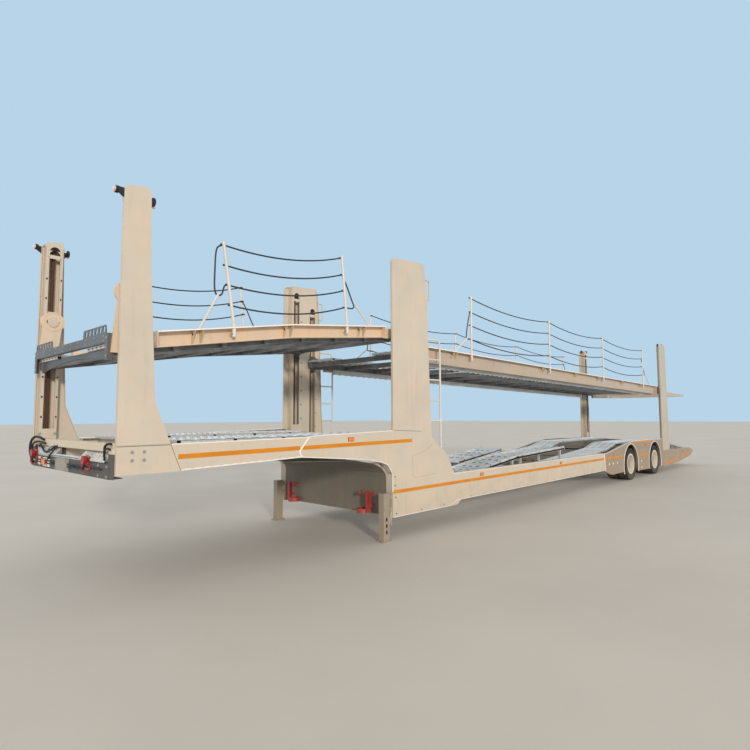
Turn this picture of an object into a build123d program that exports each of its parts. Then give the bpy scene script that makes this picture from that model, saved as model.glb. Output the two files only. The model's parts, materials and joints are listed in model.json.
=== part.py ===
"""Double-deck car carrier semi-trailer, standing on its landing legs.

Millimetres. +X points forward to the kingpin end, +Y to the left side, +Z up from the ground.
The stations below are measured from the front edge of the mid posts. ORIGIN_BACK moves the whole
trailer so that the origin lies on the ground under the middle of its length and width.
"""
from build123d import *
import os

# Overall sizes, sheets and seats
HALF_WIDTH = 1250.0
ORIGIN_BACK = 6000.0
SEAT = 0.3
SHEET = 6.0
WALL = 8.0

# Posts: the six masts that carry the upper decks
POST_DEPTH = 120.0
PLATE_FOLD = 30.0
POST_INNER = HALF_WIDTH - POST_DEPTH
INSIDE = POST_INNER - SEAT
SLOT_WIDTH = 120.0
SCREW_R = 20.0
SCREW_Y = POST_INNER + POST_DEPTH / 2
COLUMN_REACH = 93.0
FRONT_POST_X = 3700.0
FRONT_SCREW_X = FRONT_POST_X - 125.0
MID_SCREW_FRONT_X = -190.0
MID_SCREW_REAR_X = -545.0
REAR_POST_X = -12400.0
REAR_SCREW_X = REAR_POST_X - 240.0
POST_SLANT = 60.0
MID_FOOT = 1000.0
REAR_FOOT = 640.0

# Chassis heights and stations
WELL_BOTTOM = 310.0
WELL_STEP = 376.0
RUB_TOP = 796.0
GOOSE_BOTTOM = 1172.0
GOOSE_TOP = 1432.0
BEAM_FRONT_X = 15.0
BEAM_REAR_X = -7630.0
TAIL_FRONT_X = REAR_POST_X + POST_SLANT
TAIL_END_X = -15790.0
EDGE_PANEL = 60.0
INSIDE_REAR = HALF_WIDTH - EDGE_PANEL - SEAT

# Carriages: a block on each screw, and a pin through the slot to the deck's lug
BLOCK_GAP = 7.0
BLOCK_LENGTH = 150.0
BLOCK_HEIGHT = 260.0
PIN_R = 32.0
PIN_FIT = 0.05
LUG_GAP = 8.0
LUG_THICK = 22.0
LUG_EYE_R = 112.0
CAP_R = 62.0
CAP_THICK = 12.0
CAP_CLEAR = 5.0
RIM_PROUD = 6.0
EYE_SLOT_GAP = 3.0
LUG_OUT = POST_INNER - LUG_GAP
LUG_IN = LUG_OUT - LUG_THICK

# Running gear: two axles on twin tyres
AXLES_X = (-9520.0, -11550.0)
TYRE_R = 419.0
TYRE_WIDTH = 248.0
TWIN_PITCH = 280.0
RIM_R = 240.0
BEAD_R = RIM_R + 0.5
RIM_FLANGE_R = 264.0
RIM_FLANGE_REACH = 4.0
TYRE_INSET = 12.0
TYRE_OUTER_FACE = HALF_WIDTH - TYRE_INSET
TWIN_MIDDLE = TYRE_OUTER_FACE - TYRE_WIDTH / 2 - TWIN_PITCH / 2
SPINDLE_R = 40.0
SPINDLE_FIT = 0.05
HUB_R = 118.0
HUB_NOSE = 150.0
HUB_CAP = 22.0
DRUM_R = 205.0
AXLE_SQUARE = 130.0
SPRING_Y = 470.0
SPRING_HALF = 540.0
SPRING_WIDTH = 76.0
LEAF = 18.0
LEAVES = (300.0, 420.0, SPRING_HALF)
LEAF_RISE = 0.06
SPRING_FLAT = 110.0
SPRING_SEAT = TYRE_R + AXLE_SQUARE / 2 + LEAF

# Landing legs
LEG_X = 122.0
LEG_INSET = 65.0
LEG_Y = HALF_WIDTH - LEG_INSET
LEG_ALONG = 120.0
LEG_ACROSS = 92.0
LEG_TOP = 645.0
LEG_HOLE_R = 9.0
LEG_HOLES_Z = (130.0, 215.0, 300.0)
LEG_ARMS_Z = (400.0, 560.0)
LEG_ARM_DEPTH = 60.0
FOOT_THICK = 14.0

# Kingpin
KINGPIN_X = 2500.0
KINGPIN_R = 25.4
KINGPIN_COLLAR_R = 36.5
KINGPIN_LENGTH = 84.0
PICKUP_PLATE = 10.0

# Runways: two wheel tracks on each deck
RUNWAY_GAP = 52.0
RUNWAY_WIDTH = 628.0
RUNWAY_OUTER = POST_INNER - RUNWAY_GAP
RUNWAY_INNER = RUNWAY_OUTER - RUNWAY_WIDTH
RUNWAY_THICK = 40.0
GOOSE_FLOOR = GOOSE_TOP - 2.0
HUMP_Z = 990.0
WELL_Z = 560.0
LOWER_RUNWAY = (
    (3050.0, GOOSE_FLOOR + RUNWAY_THICK),
    (150.0, GOOSE_FLOOR + RUNWAY_THICK),
    (-1100.0, 640.0),
    (-1500.0, WELL_Z),
    (-4000.0, WELL_Z),
    (-8360.0, 860.0),
    (-8950.0, HUMP_Z),
    (-12300.0, HUMP_Z),
    (TAIL_END_X + 130.0, 560.0),
)
RAIL_DEPTH = 130.0
MUDGUARD_Z = 400.0
MUDGUARD_LAP = 20.0
MUDGUARD_R = HUMP_Z - RUNWAY_THICK - MUDGUARD_Z - SEAT

# Upper decks
FRONT_PIVOT_Z = 2850.0
REAR_PIVOT_Z = 2620.0
REAR_END_PIVOT_Z = REAR_PIVOT_Z - 130.0
END_TIE_TOP = REAR_END_PIVOT_Z - CAP_R - 8.0
FRONT_BEAM = ((3335.0, 2512.0), (1700.0, 2775.0), (95.0, 2945.0))
FRONT_BEAM_DEPTH = 160.0
REAR_BEAM = ((-865.0, 2745.0), (-12140.0, 2575.0))
REAR_BEAM_DEPTH = 245.0
DECK_INSET = 42.0
DECK_HALF = HALF_WIDTH - DECK_INSET
BEAM_WIDTH = 95.0
BEAM_WEB_Y = DECK_HALF - BEAM_WIDTH
DECK_SINK = 75.0
INNER_RAIL = 90.0
RAIL_WIDTH = 50.0
LIP_THICK = 50.0
LIP_Z = (2375.0, 2460.0)
LIP_FOOT = 2212.0
LIP_END_WIDTH = 65.0
FLAP_Y = (470.0, 1065.0)
FLAP_TOP = 2540.0
APRON_RISE = 80.0
FRONT_MEMBER_X = 3640.0
TONGUE_END_X = -15600.0
STANCHION_R = 17.0
STANCHION_Y = DECK_HALF - 25.0
STAY_R = 12.0
ROPE_R = 9.0
FERRULE_R = ROPE_R + 2.0
ROPE_SAG = 90.0
ROPE_Y = STANCHION_Y - STANCHION_R - FERRULE_R - SEAT
FRONT_RAIL_X = (2490.0, 815.0)
REAR_RAIL_X = (-2090.0, -5020.0, -7960.0, -10960.0)
FRONT_RAIL_HEIGHT = 905.0
REAR_RAIL_HEIGHT = 1000.0
ROPE_LEVELS = (0.97, 0.73, 0.50, 0.26)


def block(x, y, z):
    """A box between the two values of each axis."""
    sizes = (abs(x[1] - x[0]), abs(y[1] - y[0]), abs(z[1] - z[0]))
    return Pos(sum(x) / 2, sum(y) / 2, sum(z) / 2) * Box(*sizes)


def profile(points, radius=0.0, corners=()):
    """A face drawn in X and Z, with the corners named by index rounded."""
    flat = make_face(Polyline(*[(x, z) for x, z in points], close=True))
    if radius and corners:
        wanted = [flat.vertices().sort_by_distance((points[i][0], points[i][1], 0))[0] for i in corners]
        flat = fillet(wanted, radius)
    return flat


def slab(face, y0, y1):
    """A face drawn in X and Z, made solid from y0 to y1."""
    low, high = sorted((y0, y1))
    return Pos(0, high, 0) * Rot(90, 0, 0) * extrude(face, amount=high - low)


def pan(face, y_skin, depth, sheet=SHEET):
    """A pressed panel: a skin at y_skin with a flange of the given depth all round it.

    The flange runs towards smaller Y for a positive depth, and outwards for a negative one.
    """
    side = 1 if depth > 0 else -1
    inner = offset(face, -sheet, kind=Kind.INTERSECTION)
    whole = slab(face, y_skin, y_skin - depth)
    return whole - slab(inner, y_skin - side * sheet, y_skin - depth - side)


def mirror_y(shape):
    """The same piece on the other side of the trailer."""
    return mirror(shape, about=Plane.XZ)


def both(*shapes):
    """Each piece and its fellow on the other side."""
    return [*shapes, *[mirror_y(shape) for shape in shapes]]


def both_fused(shape):
    """A piece and its fellow on the other side, as one."""
    return shape + mirror_y(shape)


def rod(start, end, radius):
    """A round bar between two points."""
    a, b = Vector(*start), Vector(*end)
    low = (Align.CENTER, Align.CENTER, Align.MIN)
    return Plane(origin=a, z_dir=b - a) * Cylinder(radius, (b - a).length, align=low)


def across(x, z, y0, y1, radius):
    """A round pin along Y."""
    return rod((x, min(y0, y1), z), (x, max(y0, y1), z), radius)


def save(name, *shapes):
    """Write one node, moved to the trailer's own origin."""
    solids = [solid for shape in shapes for solid in shape.solids()]
    export_step(Compound(children=[Pos(ORIGIN_BACK, 0, 0) * s for s in solids]), f"parts/{name}.step")


def on_line(points, x):
    """The height of a bent line at x, its end runs carried on past its ends."""
    for (x0, z0), (x1, z1) in zip(points, points[1:]):
        if min(x0, x1) <= x <= max(x0, x1):
            return z0 + (z1 - z0) * (x - x0) / (x1 - x0)
    near_start = abs(x - points[0][0]) < abs(x - points[-1][0])
    (x0, z0), (x1, z1) = points[:2] if near_start else points[-2:]
    return z0 + (z1 - z0) * (x - x0) / (x1 - x0)


def at_height(points, z):
    """The station of a steep bent line at height z."""
    return on_line([(pz, px) for px, pz in points], z)


def slope(points, x):
    """The slope of a bent line at x."""
    return on_line(points, x + 1) - on_line(points, x)


def ribbon(points, thick, y0, y1):
    """A plate that follows a bent line, its top on the line."""
    lower = [(x, z - thick) for x, z in reversed(points)]
    return slab(profile(list(points) + lower), y0, y1)


def part_of_line(line, drop, ends):
    """A bent line lowered by drop and cut or carried on to the given ends, from front to rear."""
    inner = [x for x, _ in line if min(ends) < x < max(ends)]
    return [(x, on_line(line, x) - drop) for x in sorted([*ends, *inner], reverse=True)]


# Posts
FRONT_SEAM = ((3200.0, 1435.0), (3090.0, GOOSE_BOTTOM))
FRONT_CAP = ((FRONT_POST_X, 3822.0), (FRONT_POST_X - 250.0, 3868.0))
FRONT_REAR_EDGE = ((3430.0, 3080.0), (3362.0, 1840.0))
MID_CAP = ((0.0, 3932.0), (-735.0, 3990.0))
MID_REAR_EDGE = ((-790.0, 3440.0), (-850.0, 1780.0), (-880.0, 1390.0))
MID_FLARE = ((-880.0, 1390.0), (-960.0, 1300.0), (-1190.0, 1160.0), (-1330.0, MID_FOOT))
REAR_CAP = ((REAR_POST_X, 3860.0), (REAR_POST_X - 550.0, 3888.0))

SLOTS = {  # name: (x, bottom, top)
    "front": (FRONT_SCREW_X, 1560.0, 3740.0),
    "mid_front": (MID_SCREW_FRONT_X, 1560.0, 3790.0),
    "mid_rear": (MID_SCREW_REAR_X, 1420.0, 3560.0),
    "rear": (REAR_SCREW_X, 1130.0, 3720.0),
}


def post(outline, rounded, radius, slots, webs=()):
    """A mast: a folded outer plate, and a hollow column with a slot for each carriage set back inside it."""
    face = profile(outline, radius, rounded)
    top = max(z for _, z in outline)
    bottom = min(z for _, z in outline)
    rear, front = min(x for x, _, _ in slots) - COLUMN_REACH, max(x for x, _, _ in slots) + COLUMN_REACH
    strip = Pos((rear + front) / 2, (bottom + top) / 2) * Rectangle(front - rear, 2 * (top - bottom))
    column = face & strip
    hollow = offset(column, -WALL, kind=Kind.INTERSECTION)
    mast = pan(face, HALF_WIDTH, PLATE_FOLD, WALL) + slab(column, POST_INNER, HALF_WIDTH - WALL / 2)
    mast -= slab(hollow, POST_INNER + WALL, HALF_WIDTH - WALL)
    for web_x in webs:
        mast += block((web_x - WALL / 2, web_x + WALL / 2),
                      (POST_INNER + WALL / 2, HALF_WIDTH - WALL / 2), (bottom + WALL / 2, top - POST_DEPTH))
    for slot_x, slot_bottom, slot_top in slots:
        centre = slot_top - SLOT_WIDTH / 2
        mast -= block((slot_x - SLOT_WIDTH / 2, slot_x + SLOT_WIDTH / 2),
                      (POST_INNER - 1, POST_INNER + WALL + 1), (slot_bottom, centre))
        mast -= across(slot_x, centre, POST_INNER - 1, POST_INNER + WALL + 1, SLOT_WIDTH / 2)
    return mast


def front_post():
    """The front mast: straight at the front, its rear edge flared at the foot."""
    outline = ((FRONT_POST_X, GOOSE_BOTTOM), *FRONT_CAP, *FRONT_REAR_EDGE, *FRONT_SEAM)
    return post(outline, (1, 2), 60, (SLOTS["front"],))


def mid_post():
    """The wide middle mast, with one slot for each deck and a foot that flares into the side beam."""
    outline = ((0, MID_FOOT), *MID_CAP, *MID_REAR_EDGE, *MID_FLARE[1:])
    web_x = (MID_SCREW_FRONT_X + MID_SCREW_REAR_X) / 2
    return post(outline, (1, 2), 70, (SLOTS["mid_front"], SLOTS["mid_rear"]), (web_x,))


def rear_post():
    """The rear mast, which stands on the tail."""
    outline = ((TAIL_FRONT_X, REAR_FOOT), *REAR_CAP, (REAR_POST_X - 650, REAR_FOOT))
    return post(outline, (1, 2), 40, (SLOTS["rear"],))


def screw(x, foot, cap):
    """A lift screw between the foot and the sloping cap of its mast."""
    top = on_line(cap, x + SCREW_R) - WALL * 1.1 - 3
    return rod((x, SCREW_Y, foot + WALL + SEAT), (x, SCREW_Y, top), SCREW_R)


SCREWS = (  # x, foot of the mast, line of its cap
    (FRONT_SCREW_X, GOOSE_BOTTOM, FRONT_CAP),
    (MID_SCREW_FRONT_X, MID_FOOT, MID_CAP),
    (MID_SCREW_REAR_X, MID_FOOT, MID_CAP),
    (REAR_SCREW_X, REAR_FOOT, REAR_CAP),
)


# Carriages and lugs
def carriage(x, z):
    """The nut block that a screw lifts, with the pin that carries a corner of a deck."""
    y0, y1 = POST_INNER + WALL + BLOCK_GAP, HALF_WIDTH - WALL - BLOCK_GAP
    half = BLOCK_LENGTH / 2
    body = block((x - half, x + half), (y0, y1), (z - BLOCK_HEIGHT / 2, z + BLOCK_HEIGHT / 2))
    cap_y = LUG_IN - 2
    body += across(x, z, cap_y - CAP_THICK, y0 + 5, PIN_R)
    body += across(x, z, cap_y - CAP_THICK, cap_y, CAP_R)
    return body - rod((x, SCREW_Y, z - BLOCK_HEIGHT), (x, SCREW_Y, z + BLOCK_HEIGHT), SCREW_R + SEAT)


def long_disc(x, z, half, radius, y0, y1):
    """A disc along Y, drawn out by half a length to both sides in X."""
    disc = across(x - half, z, y0, y1, radius)
    if half:
        disc += block((x - half, x + half), (y0, y1), (z - radius, z + radius))
        disc += across(x + half, z, y0, y1, radius)
    return disc


def lug(x, z, arm, slotted=0.0):
    """A deck's hanger plate: a round eye on the carriage pin and an arm down to the deck."""
    plate = slab(profile(arm), LUG_IN, LUG_OUT) + across(x, z, LUG_IN, LUG_OUT, LUG_EYE_R)
    hole = PIN_R + (EYE_SLOT_GAP if slotted else PIN_FIT)
    if slotted:
        plate += long_disc(x, z, slotted, LUG_EYE_R - 12, LUG_IN, LUG_OUT)
    return plate - long_disc(x, z, slotted, hole, LUG_IN - 1, LUG_OUT + 1)


def eye_rim(x, z, slotted=0.0):
    """The raised rim round a lug's eye, clear of the cap that travels inside it."""
    ring = across(x, z, LUG_IN - RIM_PROUD, LUG_IN + 1, LUG_EYE_R)
    return ring - across(x, z, LUG_IN - RIM_PROUD - 1, LUG_IN + 2, CAP_R + slotted + CAP_CLEAR)


# Running gear
def around_y(points):
    """A ring turned about the Y axis from points of (radius, y)."""
    return revolve(make_face(Polyline(*points, close=True)), axis=Axis.Y)


def tyre(x, y):
    """One tyre: flat tread, sloped shoulders and bulged walls in a few straight runs."""
    half = TYRE_WIDTH / 2
    ring = ((BEAD_R, half - 26), (BEAD_R + 36, half - 6), (TYRE_R - 95, half), (TYRE_R - 22, half - 14),
            (TYRE_R, half - 34))
    other = [(r, -reach) for r, reach in reversed(ring)]
    return Pos(x, y, TYRE_R) * around_y([*ring, *other])


def wheel(x, side):
    """Twin rims back to back on one hub and drum, with a bore for the spindle."""
    reach = TWIN_PITCH / 2 + TYRE_WIDTH / 2 - RIM_FLANGE_REACH
    well = RIM_R - 12
    rim = ((RIM_R, 0), (RIM_R, reach - 12), (RIM_FLANGE_R, reach - 8), (RIM_FLANGE_R, reach),
           (well + 4, reach), (well - 10, 40), (HUB_R + 60, 16), (HUB_R, 16), (HUB_R, 0))
    outer = around_y(rim)
    bore = SPINDLE_R + SPINDLE_FIT
    hub = around_y(((bore, -230), (HUB_R + 40, -230), (HUB_R + 40, -205), (HUB_R, -190), (HUB_R, 30),
                    (92, 60), (84, HUB_NOSE - 12), (66, HUB_NOSE), (0, HUB_NOSE), (0, HUB_NOSE - HUB_CAP),
                    (bore, HUB_NOSE - HUB_CAP)))
    drum = around_y(((HUB_R - 4, -60), (DRUM_R - 20, -60), (DRUM_R, -75), (DRUM_R, -222),
                     (DRUM_R - 14, -222), (DRUM_R - 14, -80), (HUB_R - 4, -80)))
    body = outer + mirror_y(outer) + hub + drum
    return Pos(x, side * TWIN_MIDDLE, TYRE_R) * (body if side > 0 else mirror_y(body))


def axle(x):
    """A square beam with a turned spindle at each end and its spring seats."""
    half_beam = TWIN_MIDDLE - 250
    half = AXLE_SQUARE / 2
    beam = block((x - half, x + half), (-half_beam, half_beam), (TYRE_R - half, TYRE_R + half))
    spindle_end = TWIN_MIDDLE + HUB_NOSE - HUB_CAP - 8
    beam += across(x, TYRE_R, -spindle_end, spindle_end, SPINDLE_R)
    seat = block((x - 95, x + 95), (SPRING_Y - 60, SPRING_Y + 60), (TYRE_R, SPRING_SEAT))
    return beam + seat + mirror_y(seat)


def leaf_spring(x):
    """A leaf pack on its axle seat, with ends that rise to the hangers."""
    leaves = []
    for number, half in enumerate(LEAVES):
        z = SPRING_SEAT + LEAF * number
        flat, end = z + LEAF, z + LEAF + half * LEAF_RISE
        top = ((x + half, end), (x + SPRING_FLAT, flat), (x - SPRING_FLAT, flat), (x - half, end))
        leaves.append(ribbon(top, LEAF, SPRING_Y - SPRING_WIDTH / 2, SPRING_Y + SPRING_WIDTH / 2))
    return leaves[0] + leaves[1] + leaves[2]


# Chassis
def gooseneck_frame():
    """Two rails and their cross members over the tractor."""
    rail = block((100, 3590 - SEAT), (400, 520), (GOOSE_BOTTOM + PICKUP_PLATE, GOOSE_FLOOR - 50))
    frame = rail + mirror_y(rail)
    count, first, last = 7, 210, 3480
    for i in range(count):
        x = first + i * (last - first) / (count - 1)
        frame += block((x - 35, x + 35), (-INSIDE, INSIDE), (GOOSE_FLOOR - 50, GOOSE_FLOOR))
    return frame


def kingpin():
    """The pickup plate and the necked kingpin below it."""
    half = 520
    top = GOOSE_BOTTOM + PICKUP_PLATE
    plate = block((KINGPIN_X - 620, KINGPIN_X + 700), (-half, half), (GOOSE_BOTTOM, top))
    foot = GOOSE_BOTTOM - KINGPIN_LENGTH
    for radius, z0, z1 in ((KINGPIN_COLLAR_R, foot, foot + 21), (KINGPIN_R, foot + 20, GOOSE_BOTTOM + 1),
                           (KINGPIN_COLLAR_R, GOOSE_BOTTOM - 28, GOOSE_BOTTOM + 1)):
        plate += rod((KINGPIN_X, 0, z0), (KINGPIN_X, 0, z1), radius)
    return plate


def front_beam():
    """The dark channel between the feet of the front posts, the tube above it and a valve box."""
    low, high = GOOSE_BOTTOM - 40, GOOSE_BOTTOM + 95
    face = FRONT_POST_X + 12
    beam = block((3590, face), (-INSIDE, INSIDE), (low, high))
    beam -= block((3560, face - WALL), (-INSIDE - 1, INSIDE + 1), (low + WALL, high - WALL))
    beam += block((3610, 3690), (-INSIDE, INSIDE), (GOOSE_TOP - 55, GOOSE_TOP + 20))
    for y in (-1000, -430, 430, 1000):
        beam += block((3600, 3612), (y - 40, y + 40), (high - 5, GOOSE_TOP - 40))
    return beam + block((face - 1, face + 22), (-275, 75), (low + 8, high - 6))


PANEL_JOINT = ((1555.0, 1446.0), (1630.0, 1300.0), (1608.0, 1222.0))


def gooseneck_panels():
    """The side panels of the gooseneck: a plain front length and a deeper rear length."""
    joint = list(PANEL_JOINT)
    edge_top = at_height(FRONT_SEAM, GOOSE_TOP) - 2 * SEAT
    edge_foot = at_height(FRONT_SEAM, 1180) - 2 * SEAT
    front = pan(profile([(edge_top, GOOSE_TOP), *joint, (edge_foot, 1180)]), HALF_WIDTH, POST_DEPTH)
    back = [(x - 2 * SEAT, z) for x, z in reversed(joint)]
    rear_line = ((1345, 1462), (SEAT, 1492), (SEAT, 900), (60, 970), (110, 1035), (230, 1075), (520, 1130))
    rear = pan(profile([*back, *rear_line]), HALF_WIDTH, POST_DEPTH)
    return front, rear


def side_beam():
    """The low side beam: a pressed face that starts under the mid post, its lower edge stepped."""
    outline = ((BEAM_FRONT_X, WELL_BOTTOM), (BEAM_FRONT_X, 895), (0, 895), (0, MID_FOOT), MID_FLARE[-1],
               (-1400, 850), (-1435, RUB_TOP), (BEAM_REAR_X, RUB_TOP - 16), (BEAM_REAR_X, WELL_STEP),
               (-1615, WELL_STEP), (-1510, WELL_BOTTOM))
    return pan(profile(outline), HALF_WIDTH, POST_DEPTH)


def drop_wall():
    """The wall between the gooseneck and the well: upright below, bent forward above."""
    front = ((BEAM_FRONT_X, WELL_BOTTOM + 20), (BEAM_FRONT_X, 830), (40, 905), (120, 985), (270, 1045),
             (610, 1110), (1640, 1158))
    back = [(x - SHEET, z) if z < 900 else (x - SHEET * 0.6, z + SHEET) for x, z in reversed(front)]
    return slab(profile([*front, *back]), -INSIDE, INSIDE)


def extinguisher_bracket():
    """A red channel on the drop wall with a ring for the bottle's foot and a clasp for its neck."""
    y, x = LEG_Y - 305, 120.0
    post_piece = block((x - 30, x + 30), (y - 22, y + 22), (350, 640))
    post_piece -= block((x - 22, x + 22), (y - 23, y + 14), (420, 600))
    for z in (430, 590):
        post_piece += block((BEAM_FRONT_X + SEAT, x - 25), (y + 6, y + 18), (z, z + 36))
    ring = Pos(x, y - 106, 345) * Cylinder(92, 60, align=(Align.CENTER, Align.CENTER, Align.MIN))
    ring -= Pos(x, y - 106, 351) * Cylinder(85, 60, align=(Align.CENTER, Align.CENTER, Align.MIN))
    clasp = block((x - 10, x + 10), (y - 150, y - 20), (612, 632))
    clasp += rod((x, y - 165, 600), (x, y - 165, 640), 28)
    clasp -= rod((x + 12, y - 172, 599), (x + 12, y - 172, 641), 20)
    return post_piece + ring + clasp


def landing_leg():
    """A square leg with pin holes, on a foot plate, with two arms and a brace to the side beam."""
    half_x, half_y = LEG_ALONG / 2, LEG_ACROSS / 2
    leg = block((LEG_X - half_x, LEG_X + half_x), (LEG_Y - half_y, LEG_Y + half_y), (FOOT_THICK, LEG_TOP))
    leg -= block((LEG_X - half_x + SHEET, LEG_X + half_x - SHEET),
                 (LEG_Y - half_y + SHEET, LEG_Y + half_y - SHEET), (FOOT_THICK + 12, LEG_TOP - SHEET))
    leg += block((LEG_X - 95, LEG_X + 95), (LEG_Y - 62, LEG_Y + 62), (0, FOOT_THICK))
    beam_x, leg_x = BEAM_FRONT_X + SEAT, LEG_X - half_x + 1
    for z in LEG_ARMS_Z:
        leg += block((beam_x, leg_x), (LEG_Y - 30, LEG_Y + 30), (z, z + LEG_ARM_DEPTH))
    low, high = LEG_ARMS_Z[0] + LEG_ARM_DEPTH - 1, LEG_ARMS_Z[1] + 1
    brace = ((leg_x, high), (leg_x, high - 25), (beam_x, low), (beam_x, low + 25))
    leg += slab(profile(brace), LEG_Y, LEG_Y + 10)
    for z in LEG_HOLES_Z:
        leg -= across(LEG_X, z, LEG_Y + half_y - SHEET - 1, LEG_Y + half_y + 1, LEG_HOLE_R)
    return leg


def ladder():
    """A ladder beside the mid post: an upright, its hooped top and four rungs."""
    x, radius, rung_r = -1120.0, 15.0, 12.0
    y = HALF_WIDTH - radius - 1
    foot = on_line(MID_FLARE, x + radius) + SEAT
    top = 2850.0
    end = at_height(MID_REAR_EDGE, top) - SEAT - 1
    line = FilletPolyline((x, y, foot), (x, y, top), (end, y, top), radius=70)
    rail = sweep(Plane(origin=line @ 0, z_dir=line % 0) * Circle(radius), path=line)
    for z in (1620, 1930, 2240, 2550):
        rail += rod((x, y, z), (at_height(MID_REAR_EDGE, z) - SEAT - 1, y, z), rung_r)
    return rail


def under_runway(x, half):
    """The lowest underside of the lower runway over a member of the given half width."""
    return min(on_line(LOWER_RUNWAY, x - half), on_line(LOWER_RUNWAY, x + half)) - RUNWAY_THICK


WELL_MEMBERS = [-900 - 1000 * i for i in range(7)]
REAR_MEMBERS = (  # x, half length in Y
    (-7800, INSIDE_REAR), (-8250, INSIDE_REAR), (-8850, INSIDE_REAR), (-10535, INSIDE_REAR),
    (-12150, INSIDE_REAR), (REAR_SCREW_X, INSIDE),
)
TAIL_MEMBERS = (-13500, -14300, -15100)
TAIL_TUBE_Z = (440.0, 540.0)


def hangers(rails):
    """The spring hangers below the rail of one side, with the middle post and the bar between the springs."""
    y0, y1 = SPRING_Y - 55, SPRING_Y + 55
    reach = SPRING_HALF + SEAT
    front, rear = AXLES_X
    middle = (front + rear) / 2
    bar_foot, bar_top = 535, 600
    posts = [block((front + reach, front + reach + 110), (y0, y1), (520, HUMP_Z)),
             block((rear - reach - 110, rear - reach), (y0, y1), (520, HUMP_Z)),
             block((middle - 60, middle + 60), (y0, y1), (bar_top, HUMP_Z))]
    bar = block((rear + reach, front - reach), (y0 + 17, y1 - 17), (bar_foot, bar_top))
    return [*[lowest(cut(post_piece, rails)) for post_piece in posts], bar]


def cut(shape, tools):
    """A piece less each of the tools."""
    for tool in tools:
        shape -= tool
    return shape


def lowest(shape):
    """The lowest solid of a piece that a cut has parted."""
    return shape.solids().sort_by(Axis.Z)[0]


def floor_beams():
    """The cross members of the lower deck and the two rails over the axles, with the spring hangers."""
    half = 50
    height = 110
    y0, y1 = SPRING_Y - 55, SPRING_Y + 55
    pieces = []
    for x in WELL_MEMBERS:
        top = under_runway(x, half)
        pieces.append(block((x - half, x + half), (-INSIDE, INSIDE), (top - height, top)))
    rail_line = part_of_line(LOWER_RUNWAY, RUNWAY_THICK, (-7750, TAIL_END_X + 300))
    rails = [ribbon(run, RAIL_DEPTH, y0, y1) for run in zip(rail_line, rail_line[1:])]
    pieces += both(*rails, *hangers(rails))
    for x, reach_y in REAR_MEMBERS:
        top = under_runway(x, half - 10)
        span_x, span_z = (x - half + 10, x + half - 10), (top - height, top)
        pieces.append(block(span_x, (-y0, y0), span_z))
        pieces += both(block(span_x, (y1, reach_y), span_z))
    low, high = TAIL_TUBE_Z
    for x in TAIL_MEMBERS:
        tube = block((x - 40, x + 40), (-INSIDE_REAR, INSIDE_REAR), (low, high))
        pieces.append(cut(tube, both(*rails)))
        if under_runway(x, half) - RAIL_DEPTH > high:
            strut = block((x - 30, x + 30), (y0 + 10, y1 - 10), (high, HUMP_Z))
            pieces += both(lowest(cut(strut, rails)))
    return pieces


def track(line):
    """One wheel track as a plate for each straight run of a bent line."""
    return [ribbon(run, RUNWAY_THICK, RUNWAY_INNER, RUNWAY_OUTER) for run in zip(line, line[1:])]


CRADLES = (  # side, front x and top z, rear x and top z
    (1, -2330.0, 740.0, -3820.0, 910.0),
    (1, -3835.0, 910.0, -5890.0, 990.0),
    (-1, -4100.0, 720.0, -5840.0, 900.0),
)
CRADLE_THICK = 30.0


def wheel_cradle(side, x0, z0, x1, z1):
    """A raised trough for the wheels of one car, with the props that hold it over the runway."""
    y0, y1 = side * (RUNWAY_INNER + 30), side * (RUNWAY_OUTER - 30)
    plate = ribbon(((x0, z0), (x1, z1)), CRADLE_THICK, y0, y1)
    for x in (x0 - 150, x1 + 150):
        top = on_line(((x0, z0), (x1, z1)), x) - CRADLE_THICK / 2
        foot = max(on_line(LOWER_RUNWAY, x - 20), on_line(LOWER_RUNWAY, x + 20)) + SEAT
        for y in (y0 + side * 40, y1 - side * 40):
            plate += block((x - 20, x + 20), (y - 20, y + 20), (foot, top))
    return plate


def fender():
    """The outer panel round both wheels, with round arches."""
    front = BEAM_REAR_X - SEAT
    rear = TAIL_FRONT_X + SEAT
    outline = ((front, 360), (front, 775), (-7850, 782), (-9140, 960), (-9620, 1000), (-10780, 1000),
               (-11410, 985), (rear, 985), (rear, 180), (-10990, 190), (-10320, 200), (-8980, 250),
               (-8130, 240))
    face = profile(outline)
    for x in AXLES_X:
        face -= Pos(x, 380) * Circle(560)
        face -= Pos(x, 100) * Rectangle(1120, 560)
    return pan(face, HALF_WIDTH, EDGE_PANEL)


def mudguard(x):
    """The arch over one pair of twin tyres."""
    ring = Circle(MUDGUARD_R) - Circle(MUDGUARD_R - 4)
    ring -= Pos(0, -MUDGUARD_R) * Rectangle(3 * MUDGUARD_R, 2 * MUDGUARD_R)
    inner = TWIN_MIDDLE - TWIN_PITCH / 2 - TYRE_WIDTH / 2 - MUDGUARD_LAP
    return slab(Pos(x, MUDGUARD_Z) * ring, inner, INSIDE_REAR)


def tail():
    """The low tail behind the rear posts: side panels that taper to the tip, and the beam between them."""
    top = REAR_FOOT - SEAT
    outline = ((TAIL_FRONT_X, 150), (TAIL_FRONT_X, top), (-13060, top), (-15370, 590), (TAIL_END_X, 490),
               (-15510, 340), (-14010, 200), (-12400, 150))
    panel = pan(profile(outline), HALF_WIDTH, EDGE_PANEL)
    beam = block((TAIL_END_X + 180, TAIL_END_X + 250), (-HALF_WIDTH + 30, HALF_WIDTH - 30), (390, 480))
    return panel + mirror_y(panel) + beam


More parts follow.
